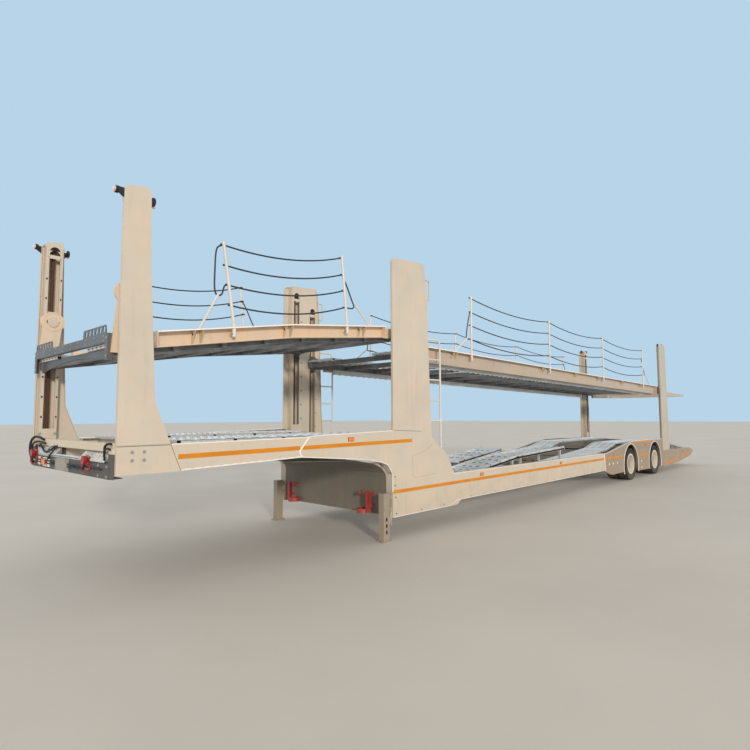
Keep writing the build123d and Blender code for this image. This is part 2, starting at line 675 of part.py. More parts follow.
# Lamps and couplings
SIDE_LAMPS = ((-2235.0, 722.0), (-5267.0, 715.0), (-8300.0, 715.0), (-10750.0, 870.0), (-14480.0, 530.0))
LAMP_PROUD = 14.0
STALK_HALF = 13.0
FRONT_STALK = (3770.0, 88.0, 34.0)  # height, reach, radius
REAR_STALK = (3745.0, -52.0, 46.0)


def stalk_lamp(x, z, reach, radius):
    """A round rubber lamp on a short stalk from the folded edge of a mast; reach is negative to the rear."""
    foot = HALF_WIDTH - PLATE_FOLD + 2
    lamp = block((x, x + reach * 0.6), (foot, foot + 2 * STALK_HALF), (z - STALK_HALF, z + STALK_HALF))
    y = foot + 2 * STALK_HALF - radius
    return lamp + rod((x + reach * 0.45, y, z), (x + reach, y, z), radius)


def marker_lamps():
    """The amber side lamps, and the rubber stalk lamps at the heads of the front posts."""
    rear_x = at_height((FRONT_REAR_EDGE[0], FRONT_CAP[1]), REAR_STALK[0])
    lamps = [stalk_lamp(FRONT_POST_X + SEAT, *FRONT_STALK), stalk_lamp(rear_x - 2 * SEAT, *REAR_STALK)]
    for x, z in (*SIDE_LAMPS, (810.0, 1400.0)):
        lamps.append(block((x - 45, x + 45), (HALF_WIDTH + SEAT, HALF_WIDTH + LAMP_PROUD), (z - 18, z + 18)))
    return lamps


def front_lamp():
    """The amber lamp on the face of the front beam."""
    face = FRONT_POST_X + 12 + SEAT
    return block((face, face + LAMP_PROUD), (-745, -655), (1182, 1218))


def rear_lamps():
    """The lamp boxes on the rear beam."""
    face = TAIL_END_X + 180 - SEAT
    y = HALF_WIDTH - 300
    return [block((face - 26, face), (y - 190, y + 190), (395, 475))]


def couplings():
    """The two brake line heads and their bracket plates."""
    face = FRONT_POST_X + 12 + SEAT
    pieces = []
    for y in (-1040, 620):
        head = block((face, face + 8), (y - 45, y + 45), (GOOSE_BOTTOM + 20, GOOSE_BOTTOM + 155))
        head += rod((face + 5, y, GOOSE_BOTTOM + 113), (face + 30, y, GOOSE_BOTTOM + 113), 20)
        head += rod((face + 26, y, GOOSE_BOTTOM + 113), (face + 54, y, GOOSE_BOTTOM + 113), 42)
        pieces.append(head)
    return pieces


# Upper decks
FRONT_RUNWAY = part_of_line(FRONT_BEAM, DECK_SINK, (FRONT_POST_X, -290.0))
REAR_RUNWAY = part_of_line(REAR_BEAM, DECK_SINK, (-420.0, -13050.0))


def deck_frame(beam, depth, runway, floors, lugs, ties):
    """The frame of an upper deck: edge channels open outwards, inner rails, cross members and lugs."""
    lower = [(x, z - depth) for x, z in reversed(beam)]
    edge = pan(profile([*beam, *lower]), BEAM_WEB_Y, -BEAM_WIDTH, WALL)
    rail_line = [(x, z - RUNWAY_THICK) for x, z in runway]
    half_frame = edge + ribbon(rail_line, INNER_RAIL, RUNWAY_OUTER - RAIL_WIDTH, RUNWAY_OUTER)
    for plate in lugs:
        half_frame += plate
    for x, z0, z1 in ties:
        half_frame += block((x - 35, x + 35), (RUNWAY_OUTER - 10, LUG_IN + 5), (z0, z1))
    frame = half_frame + mirror_y(half_frame)
    for x in floors:
        z = under_line(rail_line, x)
        inside = beam[-1][0] + 60 < x < beam[0][0] - 60
        reach = BEAM_WEB_Y + 4 if inside else RUNWAY_OUTER - 5
        frame += block((x - 30, x + 30), (-reach, reach), (z - INNER_RAIL + 10, z - 6))
    return frame


def under_line(line, x):
    """The lowest height of a bent line over a cross member at x."""
    return min(on_line(line, x - 30), on_line(line, x + 30))


def above(line, clear):
    """The space above a bent line, from a clearance over it."""
    raised = [(x, z + clear) for x, z in part_of_line(line, 0, (line[0][0] + 600, line[-1][0] - 600))]
    return slab(profile([*raised, (raised[-1][0], 5000), (raised[0][0], 5000)]), BEAM_WEB_Y, HALF_WIDTH)


def stanchions(beam, stations, height, stays):
    """The uprights of one deck edge, square to the beam, and the short stays at their ends."""
    found = []
    space = above(beam, SEAT)
    for x in stations:
        lean = -height * slope(beam, x)
        z = on_line(beam, x)
        found.append(rod((x - lean * 0.1, STANCHION_Y, z - 0.1 * height), (x + lean, STANCHION_Y, z + height),
                         STANCHION_R) & space)
    for x0, x1, rise in stays:
        z = on_line(beam, x0)
        start = (x0 - (x1 - x0) * 0.2, STANCHION_Y, z - rise * 0.2)
        found.append(rod(start, (x1, STANCHION_Y, z + rise), STAY_R) & space)
    return found


def rope(points, sags):
    """A rope that hangs from point to point, with a ferrule at each."""
    tube = None
    for (x0, z0), (x1, z1), sag in zip(points, points[1:], sags):
        middle = ((x0 + x1) / 2, ROPE_Y, (z0 + z1) / 2 - sag)
        curve = ThreePointArc((x0 - 2, ROPE_Y, z0), middle, (x1 + 2, ROPE_Y, z1))
        ring = Plane(origin=curve @ 0, z_dir=curve % 0) * Circle(ROPE_R)
        span = sweep(ring, path=curve)
        tube = span if tube is None else tube + span
    for x, z in points:
        tube += rod((x - 22, ROPE_Y, z), (x + 22, ROPE_Y, z), FERRULE_R)
    return tube


def rope_points(beam, stations, height, level):
    """Where a rope of the given level meets each upright."""
    rise = height * level
    return [(x - rise * slope(beam, x), on_line(beam, x) + rise) for x in stations]


def ropes(beam, stations, height):
    """The four ropes of one deck edge."""
    found = []
    for level in ROPE_LEVELS:
        points = rope_points(beam, stations, height, level)
        found.append(rope(points, [ROPE_SAG] * (len(points) - 1)))
    return found


def upright(face, x0, x1):
    """A face drawn in Y and Z, made solid from x0 to x1."""
    return Pos(x0, 0, 0) * extrude(Plane.YZ * face, amount=x1 - x0)


def front_flap(x0, x1):
    """The upstanding plate at the end of one wheel track, with a row of slanted slots."""
    (y0, y1), z0 = FLAP_Y, LIP_Z[1] - WALL
    count, lean, margin = 6, 18.0, 14.0
    face = make_face(Polyline((y0, z0), (y1, z0), (y1 - lean, FLAP_TOP), (y0 + lean, FLAP_TOP), close=True))
    face = fillet(face.vertices().sort_by(Axis.Y)[-2:], margin)
    pitch = (y1 - y0 - 4 * margin) / count
    low, high = LIP_Z[1] + margin, FLAP_TOP - margin
    for i in range(count):
        y = y0 + 2 * margin + pitch * (i + 0.3)
        face -= make_face(Polyline((y, low), (y + pitch * 0.5, low), (y + pitch * 0.5 + lean, high),
                                   (y + lean, high), close=True))
    return upright(face, x0, x1)


def front_deck_lip():
    """The dark channel across the front of the front deck, with its toothed flaps, end plates and apron."""
    x0, x1 = FRONT_POST_X + SEAT, FRONT_POST_X + LIP_THICK
    half = LUG_IN - SEAT
    low, high = LIP_Z
    lip = block((x0, x1), (-half, half), LIP_Z)
    lip -= block((x0 - 1, x1 - WALL), (-half - 1, half + 1), (low + WALL, high - WALL))
    end = block((x1 - WALL, x1), (half - LIP_END_WIDTH, half), (LIP_FOOT, high))
    end += block((x0, x1), (half - WALL, half), (LIP_FOOT, high))
    lip += both_fused(end) + both_fused(front_flap(x1 - WALL, x1))
    span = RUNWAY_OUTER - RAIL_WIDTH - SEAT
    face_x = FRONT_MEMBER_X + 30 + SEAT
    top = on_line(FRONT_RUNWAY, face_x + WALL) - RUNWAY_THICK - SEAT
    edge = [ThreePointArc((-span, LIP_FOOT), (0, LIP_FOOT + APRON_RISE), (span, LIP_FOOT)),
            Polyline((span, LIP_FOOT), (span, top), (-span, top), (-span, LIP_FOOT))]
    return [lip, upright(make_face(edge), face_x, face_x + WALL)]


def tongue(line):
    """The two beams that run on behind the rear posts, joined at their ends by a cross member."""
    z = on_line(line, -12900) - RUNWAY_THICK
    z_end = on_line(line, TONGUE_END_X) - RUNWAY_THICK
    side = ((-12900, z), (TONGUE_END_X, z_end), (TONGUE_END_X, z_end - 70), (-12900, z - 160))
    beam = slab(profile(side), RUNWAY_OUTER - RAIL_WIDTH, RUNWAY_OUTER)
    frame = beam + mirror_y(beam)
    for x in (-13300, -14450, TONGUE_END_X + 30):
        top = on_line(((-12900, z), (TONGUE_END_X, z_end)), x) - 6
        frame += block((x - 30, x + 30), (-RUNWAY_OUTER + 5, RUNWAY_OUTER - 5), (top - 60, top))
    return frame


def build_chassis():
    """Make the nodes of the posts and the lower deck."""
    for name, maker in (("front_posts", front_post), ("mid_posts", mid_post), ("rear_posts", rear_post),
                        ("side_beams", side_beam), ("landing_legs", landing_leg), ("ladders", ladder),
                        ("extinguisher_brackets", extinguisher_bracket), ("fenders", fender)):
        save(name, *both(maker()))
    for name, maker in (("gooseneck_frame", gooseneck_frame), ("kingpin", kingpin),
                        ("front_beam", front_beam), ("drop_wall", drop_wall), ("tail", tail)):
        save(name, maker())
    save("lift_screws", *both(*[screw(*row) for row in SCREWS]))
    save("gooseneck_panels", *both(*gooseneck_panels()))
    save("floor_beams", *floor_beams())
    save("lower_runways", *both(*track(LOWER_RUNWAY)))
    save("wheel_cradles", *[wheel_cradle(*row) for row in CRADLES])
    save("mudguards", *both(*[mudguard(x) for x in AXLES_X]))
    save("marker_lamps", *both(*marker_lamps()), front_lamp())
    save("rear_lamps", *both(*rear_lamps()))
    save("couplings", *couplings())


def build_running_gear():
    """Make the nodes of the axles, springs, wheels and tyres."""
    save("axles", *[axle(x) for x in AXLES_X])
    save("springs", *both(*[leaf_spring(x) for x in AXLES_X]))
    for place, x in zip(("front", "rear"), AXLES_X):
        for hand, side in (("left", 1), ("right", -1)):
            save(f"wheel_{place}_{hand}", wheel(x, side))
            centres = [side * (TWIN_MIDDLE + shift) for shift in (TWIN_PITCH / 2, -TWIN_PITCH / 2)]
            save(f"tyres_{place}_{hand}", *[tyre(x, y) for y in centres])


def build_front_deck():
    """Make the nodes of the front upper deck."""
    z = FRONT_PIVOT_Z
    x = FRONT_SCREW_X
    end_arm = ((x - 105, z - 20), (x - 40, 2280), (FRONT_POST_X + 25, 2280), (x + 105, z - 20))
    x = MID_SCREW_FRONT_X
    mid_arm = ((x - 40, z + 95), (130, 2925), (130, 2800), (x - 40, z - 95))
    travel = 35.0
    lugs = (lug(FRONT_SCREW_X, z, end_arm, travel), eye_rim(FRONT_SCREW_X, z, travel),
            lug(x, z, mid_arm), eye_rim(x, z))
    ties = ((FRONT_POST_X - 70, 2285, 2335), (40, 2795, 2825))
    floors = (FRONT_MEMBER_X, 3100, 2560, 2020, 1480, 940, 400, -240)
    save("front_deck_frame", deck_frame(FRONT_BEAM, FRONT_BEAM_DEPTH, FRONT_RUNWAY, floors, lugs, ties))
    save("front_deck_runways", *both(*track(FRONT_RUNWAY)))
    save("front_deck_lip", *front_deck_lip())
    stays = ((2895, 2685, 395), (400, 665, 240))
    save("front_deck_rails", *both(*stanchions(FRONT_BEAM, FRONT_RAIL_X, FRONT_RAIL_HEIGHT, stays)))
    save("front_deck_ropes", *both(*ropes(FRONT_BEAM, FRONT_RAIL_X, FRONT_RAIL_HEIGHT)))
    save("front_deck_mid_carriages", *both(carriage(MID_SCREW_FRONT_X, z)))
    save("front_deck_end_carriages", *both(carriage(FRONT_SCREW_X, z)))


def build_rear_deck():
    """Make the nodes of the rear upper deck."""
    z = REAR_PIVOT_Z
    x = MID_SCREW_REAR_X
    mid_arm = ((x + 40, z + 98), (-900, 2715), (-900, 2535), (x + 40, z - 98))
    end_z = REAR_END_PIVOT_Z
    x = REAR_SCREW_X
    end_arm = ((x - 130, end_z - 20), (x - 130, 2400), (x + 130, 2400), (x + 130, end_z - 20))
    lugs = (lug(MID_SCREW_REAR_X, z, mid_arm), eye_rim(MID_SCREW_REAR_X, z), lug(x, end_z, end_arm, 55))
    ties = ((-760, 2560, 2615), (x - 95, 2390, END_TIE_TOP), (x + 95, 2390, END_TIE_TOP))
    floors = [-500 - 785 * i for i in range(16)]
    frame = deck_frame(REAR_BEAM, REAR_BEAM_DEPTH, REAR_RUNWAY, floors, lugs, ties)
    save("rear_deck_frame", frame + tongue(REAR_RUNWAY))
    save("rear_deck_runways", *both(*track((REAR_RUNWAY[0], REAR_RUNWAY[-1]))))
    stays = ((-1610, -1980, 270), (-11500, -11180, 280))
    save("rear_deck_rails", *both(*stanchions(REAR_BEAM, REAR_RAIL_X, REAR_RAIL_HEIGHT, stays)))
    save("rear_deck_ropes", *both(*ropes(REAR_BEAM, REAR_RAIL_X, REAR_RAIL_HEIGHT)))
    save("rear_deck_mid_carriages", *both(carriage(MID_SCREW_REAR_X, z)))
    save("rear_deck_end_carriages", *both(carriage(REAR_SCREW_X, end_z)))


def build():
    """Make every node."""
    os.makedirs("parts", exist_ok=True)
    build_chassis()
    build_running_gear()
    build_front_deck()
    build_rear_deck()


build()
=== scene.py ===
"""Looks of a double-deck car carrier semi-trailer that stands on its landing legs.

Metres, +X forward, +Y left, +Z up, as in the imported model. Stations are measured along X from the
front edge of the mid posts, as on the trailer's own drawing. Shape and Place take stations.
"""
import json
import logging
import math
from collections.abc import Callable, Sequence
from dataclasses import dataclass
from enum import Enum

import bmesh
import bpy
from mathutils import Matrix, Vector

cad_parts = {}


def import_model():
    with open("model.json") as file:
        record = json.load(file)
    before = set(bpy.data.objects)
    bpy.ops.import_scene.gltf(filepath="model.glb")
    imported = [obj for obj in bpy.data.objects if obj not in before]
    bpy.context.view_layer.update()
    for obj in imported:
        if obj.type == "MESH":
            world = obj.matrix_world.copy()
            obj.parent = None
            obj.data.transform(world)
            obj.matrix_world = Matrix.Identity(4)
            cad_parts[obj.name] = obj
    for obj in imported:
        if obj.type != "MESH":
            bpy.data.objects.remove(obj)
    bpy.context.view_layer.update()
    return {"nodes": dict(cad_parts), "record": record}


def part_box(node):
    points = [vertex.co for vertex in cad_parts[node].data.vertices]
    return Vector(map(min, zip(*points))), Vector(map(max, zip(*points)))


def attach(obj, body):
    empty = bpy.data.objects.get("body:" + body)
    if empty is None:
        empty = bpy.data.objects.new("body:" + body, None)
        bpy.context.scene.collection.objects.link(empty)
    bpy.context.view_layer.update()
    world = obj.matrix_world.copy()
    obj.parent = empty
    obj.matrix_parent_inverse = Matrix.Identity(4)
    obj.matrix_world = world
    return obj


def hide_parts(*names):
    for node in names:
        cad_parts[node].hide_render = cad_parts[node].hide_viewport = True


log = logging.getLogger("trailer")

MID_POST_FRONT = 6.0
SIDES = (1, -1)
PLATE_Y = 1.25
PROUD = 0.0008
BASE = "trailer"
AXLES = (("front", -9.52), ("rear", -11.55))

Point = tuple[float, float, float]
Colour = tuple[float, float, float]
Line = Sequence[tuple[float, float]]
Sockets = dict[str, object]
Values = dict[str | int, object]


def tone(red: int, green: int, blue: int) -> Colour:
    """A linear colour from screen values of 0 to 255."""
    return tuple(((c / 255 + 0.055) / 1.055) ** 2.4 if c > 10 else c / 255 / 12.92
                 for c in (red, green, blue))


def shaded(colour: Colour, red: float, green: float | None = None,
           blue: float | None = None) -> Colour:
    """A colour with all its channels scaled by one share, or by a share each."""
    shares = (red, red if green is None else green, red if blue is None else blue)
    return tuple(c * s for c, s in zip(colour, shares))


def blend(a: float, b: float, share: float) -> float:
    """The value that lies a share of the way from a to b."""
    return a + (b - a) * share


def about(middle: float, half: float) -> tuple[float, float]:
    """The two values that lie half a width to either side of a middle."""
    return middle - half, middle + half


def shares(count: int) -> list[float]:
    """The middles of the equal parts that a run is cut into, as shares of its length."""
    return [(i + 0.5) / count for i in range(count)]


def round_angles(count: int, first: float = 0.0) -> list[float]:
    """Equally spaced angles round a circle, the first one a share of a step from zero."""
    return [math.tau * (i + first) / count for i in range(count)]


def on_line(line: Line, x: float) -> float:
    """The height of a bent line at x.

    Args:
        line: Its points as (x, z), from front to rear.
        x: A station on it, or past its ends, where the end run is carried on.

    Returns:
        The height there.
    """
    for (x0, z0), (x1, z1) in zip(line, line[1:]):
        if x1 <= x <= x0:
            return z0 + (z1 - z0) * (x - x0) / (x1 - x0)
    (x0, z0), (x1, z1) = line[:2] if x > line[0][0] else line[-2:]
    return z0 + (z1 - z0) * (x - x0) / (x1 - x0)


def band(line: Line, over: float, under: float) -> Line:
    """The outline of a band along a line, from so much over it to so much under it."""
    return [*[(x, z + over) for x, z in line], *[(x, z - under) for x, z in reversed(line)]]


class Facing(Enum):
    """The turn that brings a fitting's own +Z axis to face one way."""

    UP = (0.0, 0.0, 0.0)
    DOWN = (math.pi, 0.0, 0.0)
    LEFT = (-math.pi / 2, 0.0, 0.0)
    RIGHT = (math.pi / 2, 0.0, 0.0)
    FORWARD = (0.0, math.pi / 2, 0.0)
    BACK = (0.0, -math.pi / 2, 0.0)


class Slot(Enum):
    """The material slots of the record, by which the carried-over nodes take their finish."""

    FRAME = "frame_paint"
    UNDERSIDE = "underside_paint"
    DARK = "dark_paint"
    GALVANISED = "galvanised"
    SCREW = "screw_steel"
    RED = "red_paint"
    WHEEL = "wheel_steel"
    TYRE = "tyre"
    ROPE = "rope"
    AMBER = "amber_lens"
    RED_LENS = "red_lens"


# Node trees


@dataclass(frozen=True)
class Links:
    """A node tree with short ways to add and join nodes."""

    tree: bpy.types.NodeTree

    def node(self, kind: str, values: Values | None = None, **settings: object) -> bpy.types.Node:
        """Add a node.

        Args:
            kind: The node's type name.
            values: Values or sockets for its inputs, by the input's name or index.
            settings: Properties of the node itself.

        Returns:
            The new node.
        """
        made = self.tree.nodes.new(kind)
        for name, value in settings.items():
            setattr(made, name, value)
        self.give(made, values or {})
        return made

    def give(self, node: bpy.types.Node, values: Values) -> None:
        """Link a socket to each of a node's inputs, or set the input's own value.

        Args:
            node: The node.
            values: What goes into its inputs, by the input's name or index.
        """
        for name, value in values.items():
            socket = node.inputs[name]
            if isinstance(value, bpy.types.NodeSocket):
                self.tree.links.new(value, socket)
            elif isinstance(value, tuple) and socket.type == "RGBA":
                socket.default_value = (*value, 1.0)
            else:
                socket.default_value = value

    @property
    def place(self) -> bpy.types.NodeSocket:
        """The place on the trailer, from the tree's one node of that kind."""
        found = self.tree.nodes.get("Texture Coordinate")
        return (found or self.node("ShaderNodeTexCoord")).outputs["Object"]

    def axes(self, place: object) -> bpy.types.bpy_prop_collection:
        """The X, Y and Z of a place."""
        return self.node("ShaderNodeSeparateXYZ", {"Vector": place}).outputs

    def noise(self, place: object, scale: float, detail: float) -> bpy.types.NodeSocket:
        """A cloudy pattern from 0 to 1."""
        values = {"Vector": place, "Scale": scale, "Detail": detail, "Roughness": 0.55}
        return self.node("ShaderNodeTexNoise", values).outputs["Fac"]

    def scaled(self, place: object, scale: Point) -> bpy.types.NodeSocket:
        """A place with each axis scaled."""
        return self.node("ShaderNodeMapping", {"Vector": place, "Scale": scale}).outputs["Vector"]

    def ramp(self, value: object, low: object, high: float,
             to: tuple[float, float] = (0.0, 1.0)) -> bpy.types.NodeSocket:
        """A value stretched from low..high to the range of to, and held there."""
        values = {"Value": value, "From Min": low, "From Max": high, "To Min": to[0],
                  "To Max": to[1]}
        return self.node("ShaderNodeMapRange", values).outputs["Result"]

    def maths(self, operation: str, *values: object) -> bpy.types.NodeSocket:
        """One step of arithmetic."""
        return self.node("ShaderNodeMath", dict(enumerate(values)), operation=operation).outputs[0]

    def mix(self, share: object, a: object, b: object) -> bpy.types.NodeSocket:
        """Two colours mixed."""
        return self.node("ShaderNodeMix", {0: share, 6: a, 7: b}, data_type="RGBA").outputs[2]

    def bump(self, height: object, distance: float, strength: float,
             **more: object) -> bpy.types.NodeSocket:
        """A normal from a height."""
        values = {"Height": height, "Distance": distance, "Strength": strength, **more}
        return self.node("ShaderNodeBump", values).outputs["Normal"]


TREES: dict[str, bpy.types.NodeTree] = {}


def tree(kind: str, name: str, inputs: dict[str, str], outputs: dict[str, str],
         fill: Callable[[Links, Sockets], Sockets]) -> bpy.types.NodeTree:
    """A tree with named inputs and outputs, built on its first use and then shared.

    Args:
        kind: The tree's type.
        name: Its name.
        inputs: Each input's kind of socket.
        outputs: Each output's kind of socket.
        fill: Makes the nodes from the inputs and returns the socket of each output.

    Returns:
        The tree.
    """
    if name not in TREES:
        made = TREES[name] = bpy.data.node_groups.new(name, kind)
        for way, sockets in (("INPUT", inputs), ("OUTPUT", outputs)):
            for label, what in sockets.items():
                made.interface.new_socket(name=label, in_out=way, socket_type=f"NodeSocket{what}")
        links = Links(made)
        start, end = made.nodes.new("NodeGroupInput"), made.nodes.new("NodeGroupOutput")
        links.give(end, fill(links, {label: start.outputs[label] for label in inputs}))
    return TREES[name]


def weather_masks(links: Links, given: Sockets) -> Sockets:
    """Masks of an outdoor surface: tone, patches, rain streaks, road dust, grain and waves.

    Args:
        links: The group's tree.
        given: The sockets of its inputs.

    Returns:
        The socket of each mask.
    """
    place = given["Place"]
    runs = links.noise(links.scaled(place, (16.0, 16.0, 0.8)), 1.0, 4.0)
    spots = links.noise(place, 7.0, 4.0)
    low = links.ramp(links.axes(place)["Z"], given["Dust top"], 0.05)
    return {
        "Tone": links.ramp(links.noise(place, 1.7, 5.0), 0.32, 0.68),
        "Patches": links.ramp(links.noise(place, 3.1, 2.0), 0.42, 0.66),
        "Streaks": links.maths("MULTIPLY", links.ramp(runs, 0.52, 0.74),
                               links.ramp(spots, 0.38, 0.6)),
        "Dust": links.maths("MULTIPLY", low, links.ramp(spots, 0.2, 0.75)),
        "Grain": links.noise(place, given["Grain scale"], 2.0),
        "Waves": links.noise(links.scaled(place, (1.0, 1.0, 1.6)), 1.3, 1.0),
    }


def zinc_masks(links: Links, given: Sockets) -> Sockets:
    """The crystal patches of hot-dip zinc, and its grain.

    Args:
        links: The group's tree.
        given: The sockets of its inputs.

    Returns:
        The socket of each mask.
    """
    values = {"Vector": given["Place"], "Scale": given["Scale"]}
    cells = links.node("ShaderNodeTexVoronoi", values).outputs["Color"]
    value = links.node("ShaderNodeSeparateColor", {"Color": cells}).outputs[0]
    return {"Cell": links.maths("MULTIPLY_ADD", value, 0.8),
            "Grain": links.noise(given["Place"], 240.0, 2.0)}


# Finishes


@dataclass(frozen=True)
class Finish:
    """What every finish has: a name, a colour and a roughness. The rest is in its nodes."""

    name: str
    colour: Colour
    rough: float = 0.5
    dust: Colour = tone(176, 158, 132)
    dust_top: float = 0.9

    def material(self) -> bpy.types.Material:
        """The finish as a material, built on its first use.

        Returns:
            The material.
        """
        made = bpy.data.materials.get(self.name)
        if made is None:
            made = bpy.data.materials.new(self.name)
            made.use_nodes = True
            links = Links(made.node_tree)
            shader = made.node_tree.nodes["Principled BSDF"]
            links.give(shader, self.nodes(links))
        return made

    def weather(self, links: Links, grain: float = 420.0) -> bpy.types.bpy_prop_collection:
        """The shared weather masks with this finish's own dust height.

        Args:
            links: The material's tree.
            grain: How fine the grain is.

        Returns:
            The masks by name.
        """
        masks = ("Tone", "Patches", "Streaks", "Dust", "Grain", "Waves")
        group = tree("ShaderNodeTree", "Weather",
                     {"Place": "Vector", "Dust top": "Float", "Grain scale": "Float"},
                     dict.fromkeys(masks, "Float"), weather_masks)
        values = {"Place": links.place, "Dust top": self.dust_top, "Grain scale": grain}
        return links.node("ShaderNodeGroup", values, node_tree=group).outputs

    def gloss(self, links: Links, mask: object, less: float, more: float) -> object:
        """The roughness, from so much less to so much more than the finish's own by a mask."""
        return links.ramp(mask, 0.0, 1.0, (self.rough - less, self.rough + more))

    def nodes(self, links: Links) -> Sockets:
        """The shader's inputs for plain matt stuff of cloudy tone.

        Args:
            links: The material's tree.

        Returns:
            What goes into the inputs of the Principled BSDF, by the input's name.
        """
        masks = self.weather(links)
        return {"Base Color": links.mix(masks["Tone"], self.colour, shaded(self.colour, 0.8)),
                "Roughness": self.gloss(links, masks["Tone"], 0.06, 0.06),
                "Normal": links.bump(masks["Grain"], 0.0006, 0.5)}


@dataclass(frozen=True)
class SheetPaint(Finish):
    """Sprayed paint on plate: faint waves, fine grain, rain streaks, and dust low down."""

    streak: float = 0.35
    waves: float = 0.006
    coat: float = 0.15

    def nodes(self, links: Links) -> Sockets:
        """The paint's colour, gloss and surface.

        Args:
            links: The material's tree.

        Returns:
            The shader's inputs.
        """
        masks = self.weather(links)
        shade = links.mix(masks["Tone"], self.colour, shaded(self.colour, 0.90))
        blush = links.mix(links.maths("MULTIPLY", masks["Patches"], 0.6), shade,
                          shaded(self.colour, 1.06, 0.965, 0.90))
        streaked = links.mix(links.maths("MULTIPLY", masks["Streaks"], self.streak), blush,
                             shaded(self.colour, 0.62, 0.56, 0.48))
        dusty = links.maths("MULTIPLY", masks["Dust"], 0.45)
        gloss = self.gloss(links, masks["Tone"], 0.05, 0.08)
        waves = links.bump(masks["Waves"], self.waves, 1.0)
        return {"Base Color": links.mix(dusty, streaked, self.dust),
                "Roughness": links.maths("ADD", gloss, links.maths("MULTIPLY", dusty, 0.5)),
                "Coat Weight": self.coat, "Coat Roughness": 0.25,
                "Normal": links.bump(masks["Grain"], 0.0004, 0.35, Normal=waves)}


@dataclass(frozen=True)
class DeckSheet(SheetPaint):
    """A deck's finish: paint on the edge beams' outward sides, dull dark zinc elsewhere."""

    inside: Colour = tone(112, 114, 116)
    edge_y: float = 1.112
    lug_y: float = 1.080
    painted: tuple[float, float] = (-6.9, 9.35)
    feet: tuple[tuple[float, float], ...] = ()  # the beams' lower edge as slope and height at X = 0

    def nodes(self, links: Links) -> Sockets:
        """Paint or zinc by the distance from the middle and the height over the beams' foot.

        Args:
            links: The material's tree.

        Returns:
            The shader's inputs.
        """
        values = super().nodes(links)
        axes = links.axes(links.place)
        aside = links.maths("ABSOLUTE", axes["Y"])
        over = 0.0
        for slope, height in self.feet:
            foot = links.maths("MULTIPLY_ADD", axes["X"], slope, height)
            over = links.maths("MAXIMUM", links.maths("GREATER_THAN", axes["Z"], foot), over)
        beam = links.maths("MULTIPLY", over, links.maths("GREATER_THAN", aside, self.edge_y))
        lugs = links.maths("MULTIPLY", links.maths("GREATER_THAN", axes["X"], self.painted[1]),
                           links.maths("GREATER_THAN", aside, self.lug_y))
        ends = links.maths("MAXIMUM", lugs,
                           links.maths("LESS_THAN", axes["X"], self.painted[0]))
        patches = links.ramp(links.noise(links.place, 9.0, 4.0), 0.35, 0.65)
        dull = links.mix(patches, self.inside, shaded(self.inside, 0.66))
        paint = links.mix(links.maths("MAXIMUM", beam, ends), dull, values["Base Color"])
        return {**values, "Base Color": paint}


@dataclass(frozen=True)
class BeamPaint(SheetPaint):
    """The front beam's finish: dark, with a cream tube above it and a grey valve box."""

    cream: Colour = tone(226, 214, 192)
    tube_from: float = 1.36
    box: Colour = tone(168, 164, 154)
    box_y: tuple[float, float] = (-0.277, 0.077)
    box_from: float = 9.7115

    def nodes(self, links: Links) -> Sockets:
        """Lay the cream and the grey over the dark paint, each where its piece is.

        Args:
            links: The material's tree.

        Returns:
            The shader's inputs.
        """
        values = super().nodes(links)
        axes = links.axes(links.place)
        boxed = links.maths("GREATER_THAN", axes["X"], self.box_from)
        for operation, y in zip(("GREATER_THAN", "LESS_THAN"), self.box_y):
            boxed = links.maths("MULTIPLY", boxed, links.maths(operation, axes["Y"], y))
        dark = links.mix(boxed, values["Base Color"], self.box)
        tube = links.maths("GREATER_THAN", axes["Z"], self.tube_from)
        return {**values, "Base Color": links.mix(tube, dark, self.cream)}


@dataclass(frozen=True)
class RimPaint(SheetPaint):
    """Wheel paint: white on the outer flange, darker within as painted shade, brown in the dish as
    painted shade and brake dust.
    """

    # Painted shade: the dull tone within the rim and the brown of the dish stand in for the shade
    # of the deep recess; the brown is partly brake dust.
    dish: Colour = tone(98, 74, 58)
    dull: Colour = tone(196, 176, 148)
    deep: float = 1.012
    flange: float = 1.135

    def nodes(self, links: Links) -> Sockets:
        """Darken the paint by the depth in the wheel, as painted shade in its recess.

        Args:
            links: The material's tree.

        Returns:
            The shader's inputs.
        """
        values = super().nodes(links)
        aside = links.maths("ABSOLUTE", links.axes(links.place)["Y"])
        inside = links.mix(links.ramp(aside, self.deep - 0.012, self.deep + 0.012), self.dish,
                           self.dull)
        outer = links.ramp(aside, self.flange - 0.03, self.flange + 0.01)
        return {**values, "Base Color": links.mix(outer, inside, values["Base Color"])}


@dataclass(frozen=True)
class Zinc(Finish):
    """Hot-dip galvanised steel with its crystal patches."""

    scale: float = 38.0
    metal: float = 0.75

    def nodes(self, links: Links) -> Sockets:
        """The patches in colour, gloss and surface.

        Args:
            links: The material's tree.

        Returns:
            The shader's inputs.
        """
        masks = self.weather(links)
        group = tree("ShaderNodeTree", "Spangle", {"Place": "Vector", "Scale": "Float"},
                     {"Cell": "Float", "Grain": "Float"}, zinc_masks)
        patches = links.node("ShaderNodeGroup", {"Place": links.place, "Scale": self.scale},
                             node_tree=group).outputs
        bright = links.mix(patches["Cell"], shaded(self.colour, 0.78), self.colour)
        worn = links.mix(links.maths("MULTIPLY", masks["Tone"], 0.35), bright,
                         tone(150, 148, 142))
        dusty = links.maths("MULTIPLY", masks["Streaks"], 0.35)
        return {"Base Color": links.mix(dusty, worn, self.dust), "Metallic": self.metal,
                "Roughness": self.gloss(links, patches["Cell"], 0.1, 0.14),
                "Normal": links.bump(patches["Grain"], 0.0005, 0.5)}


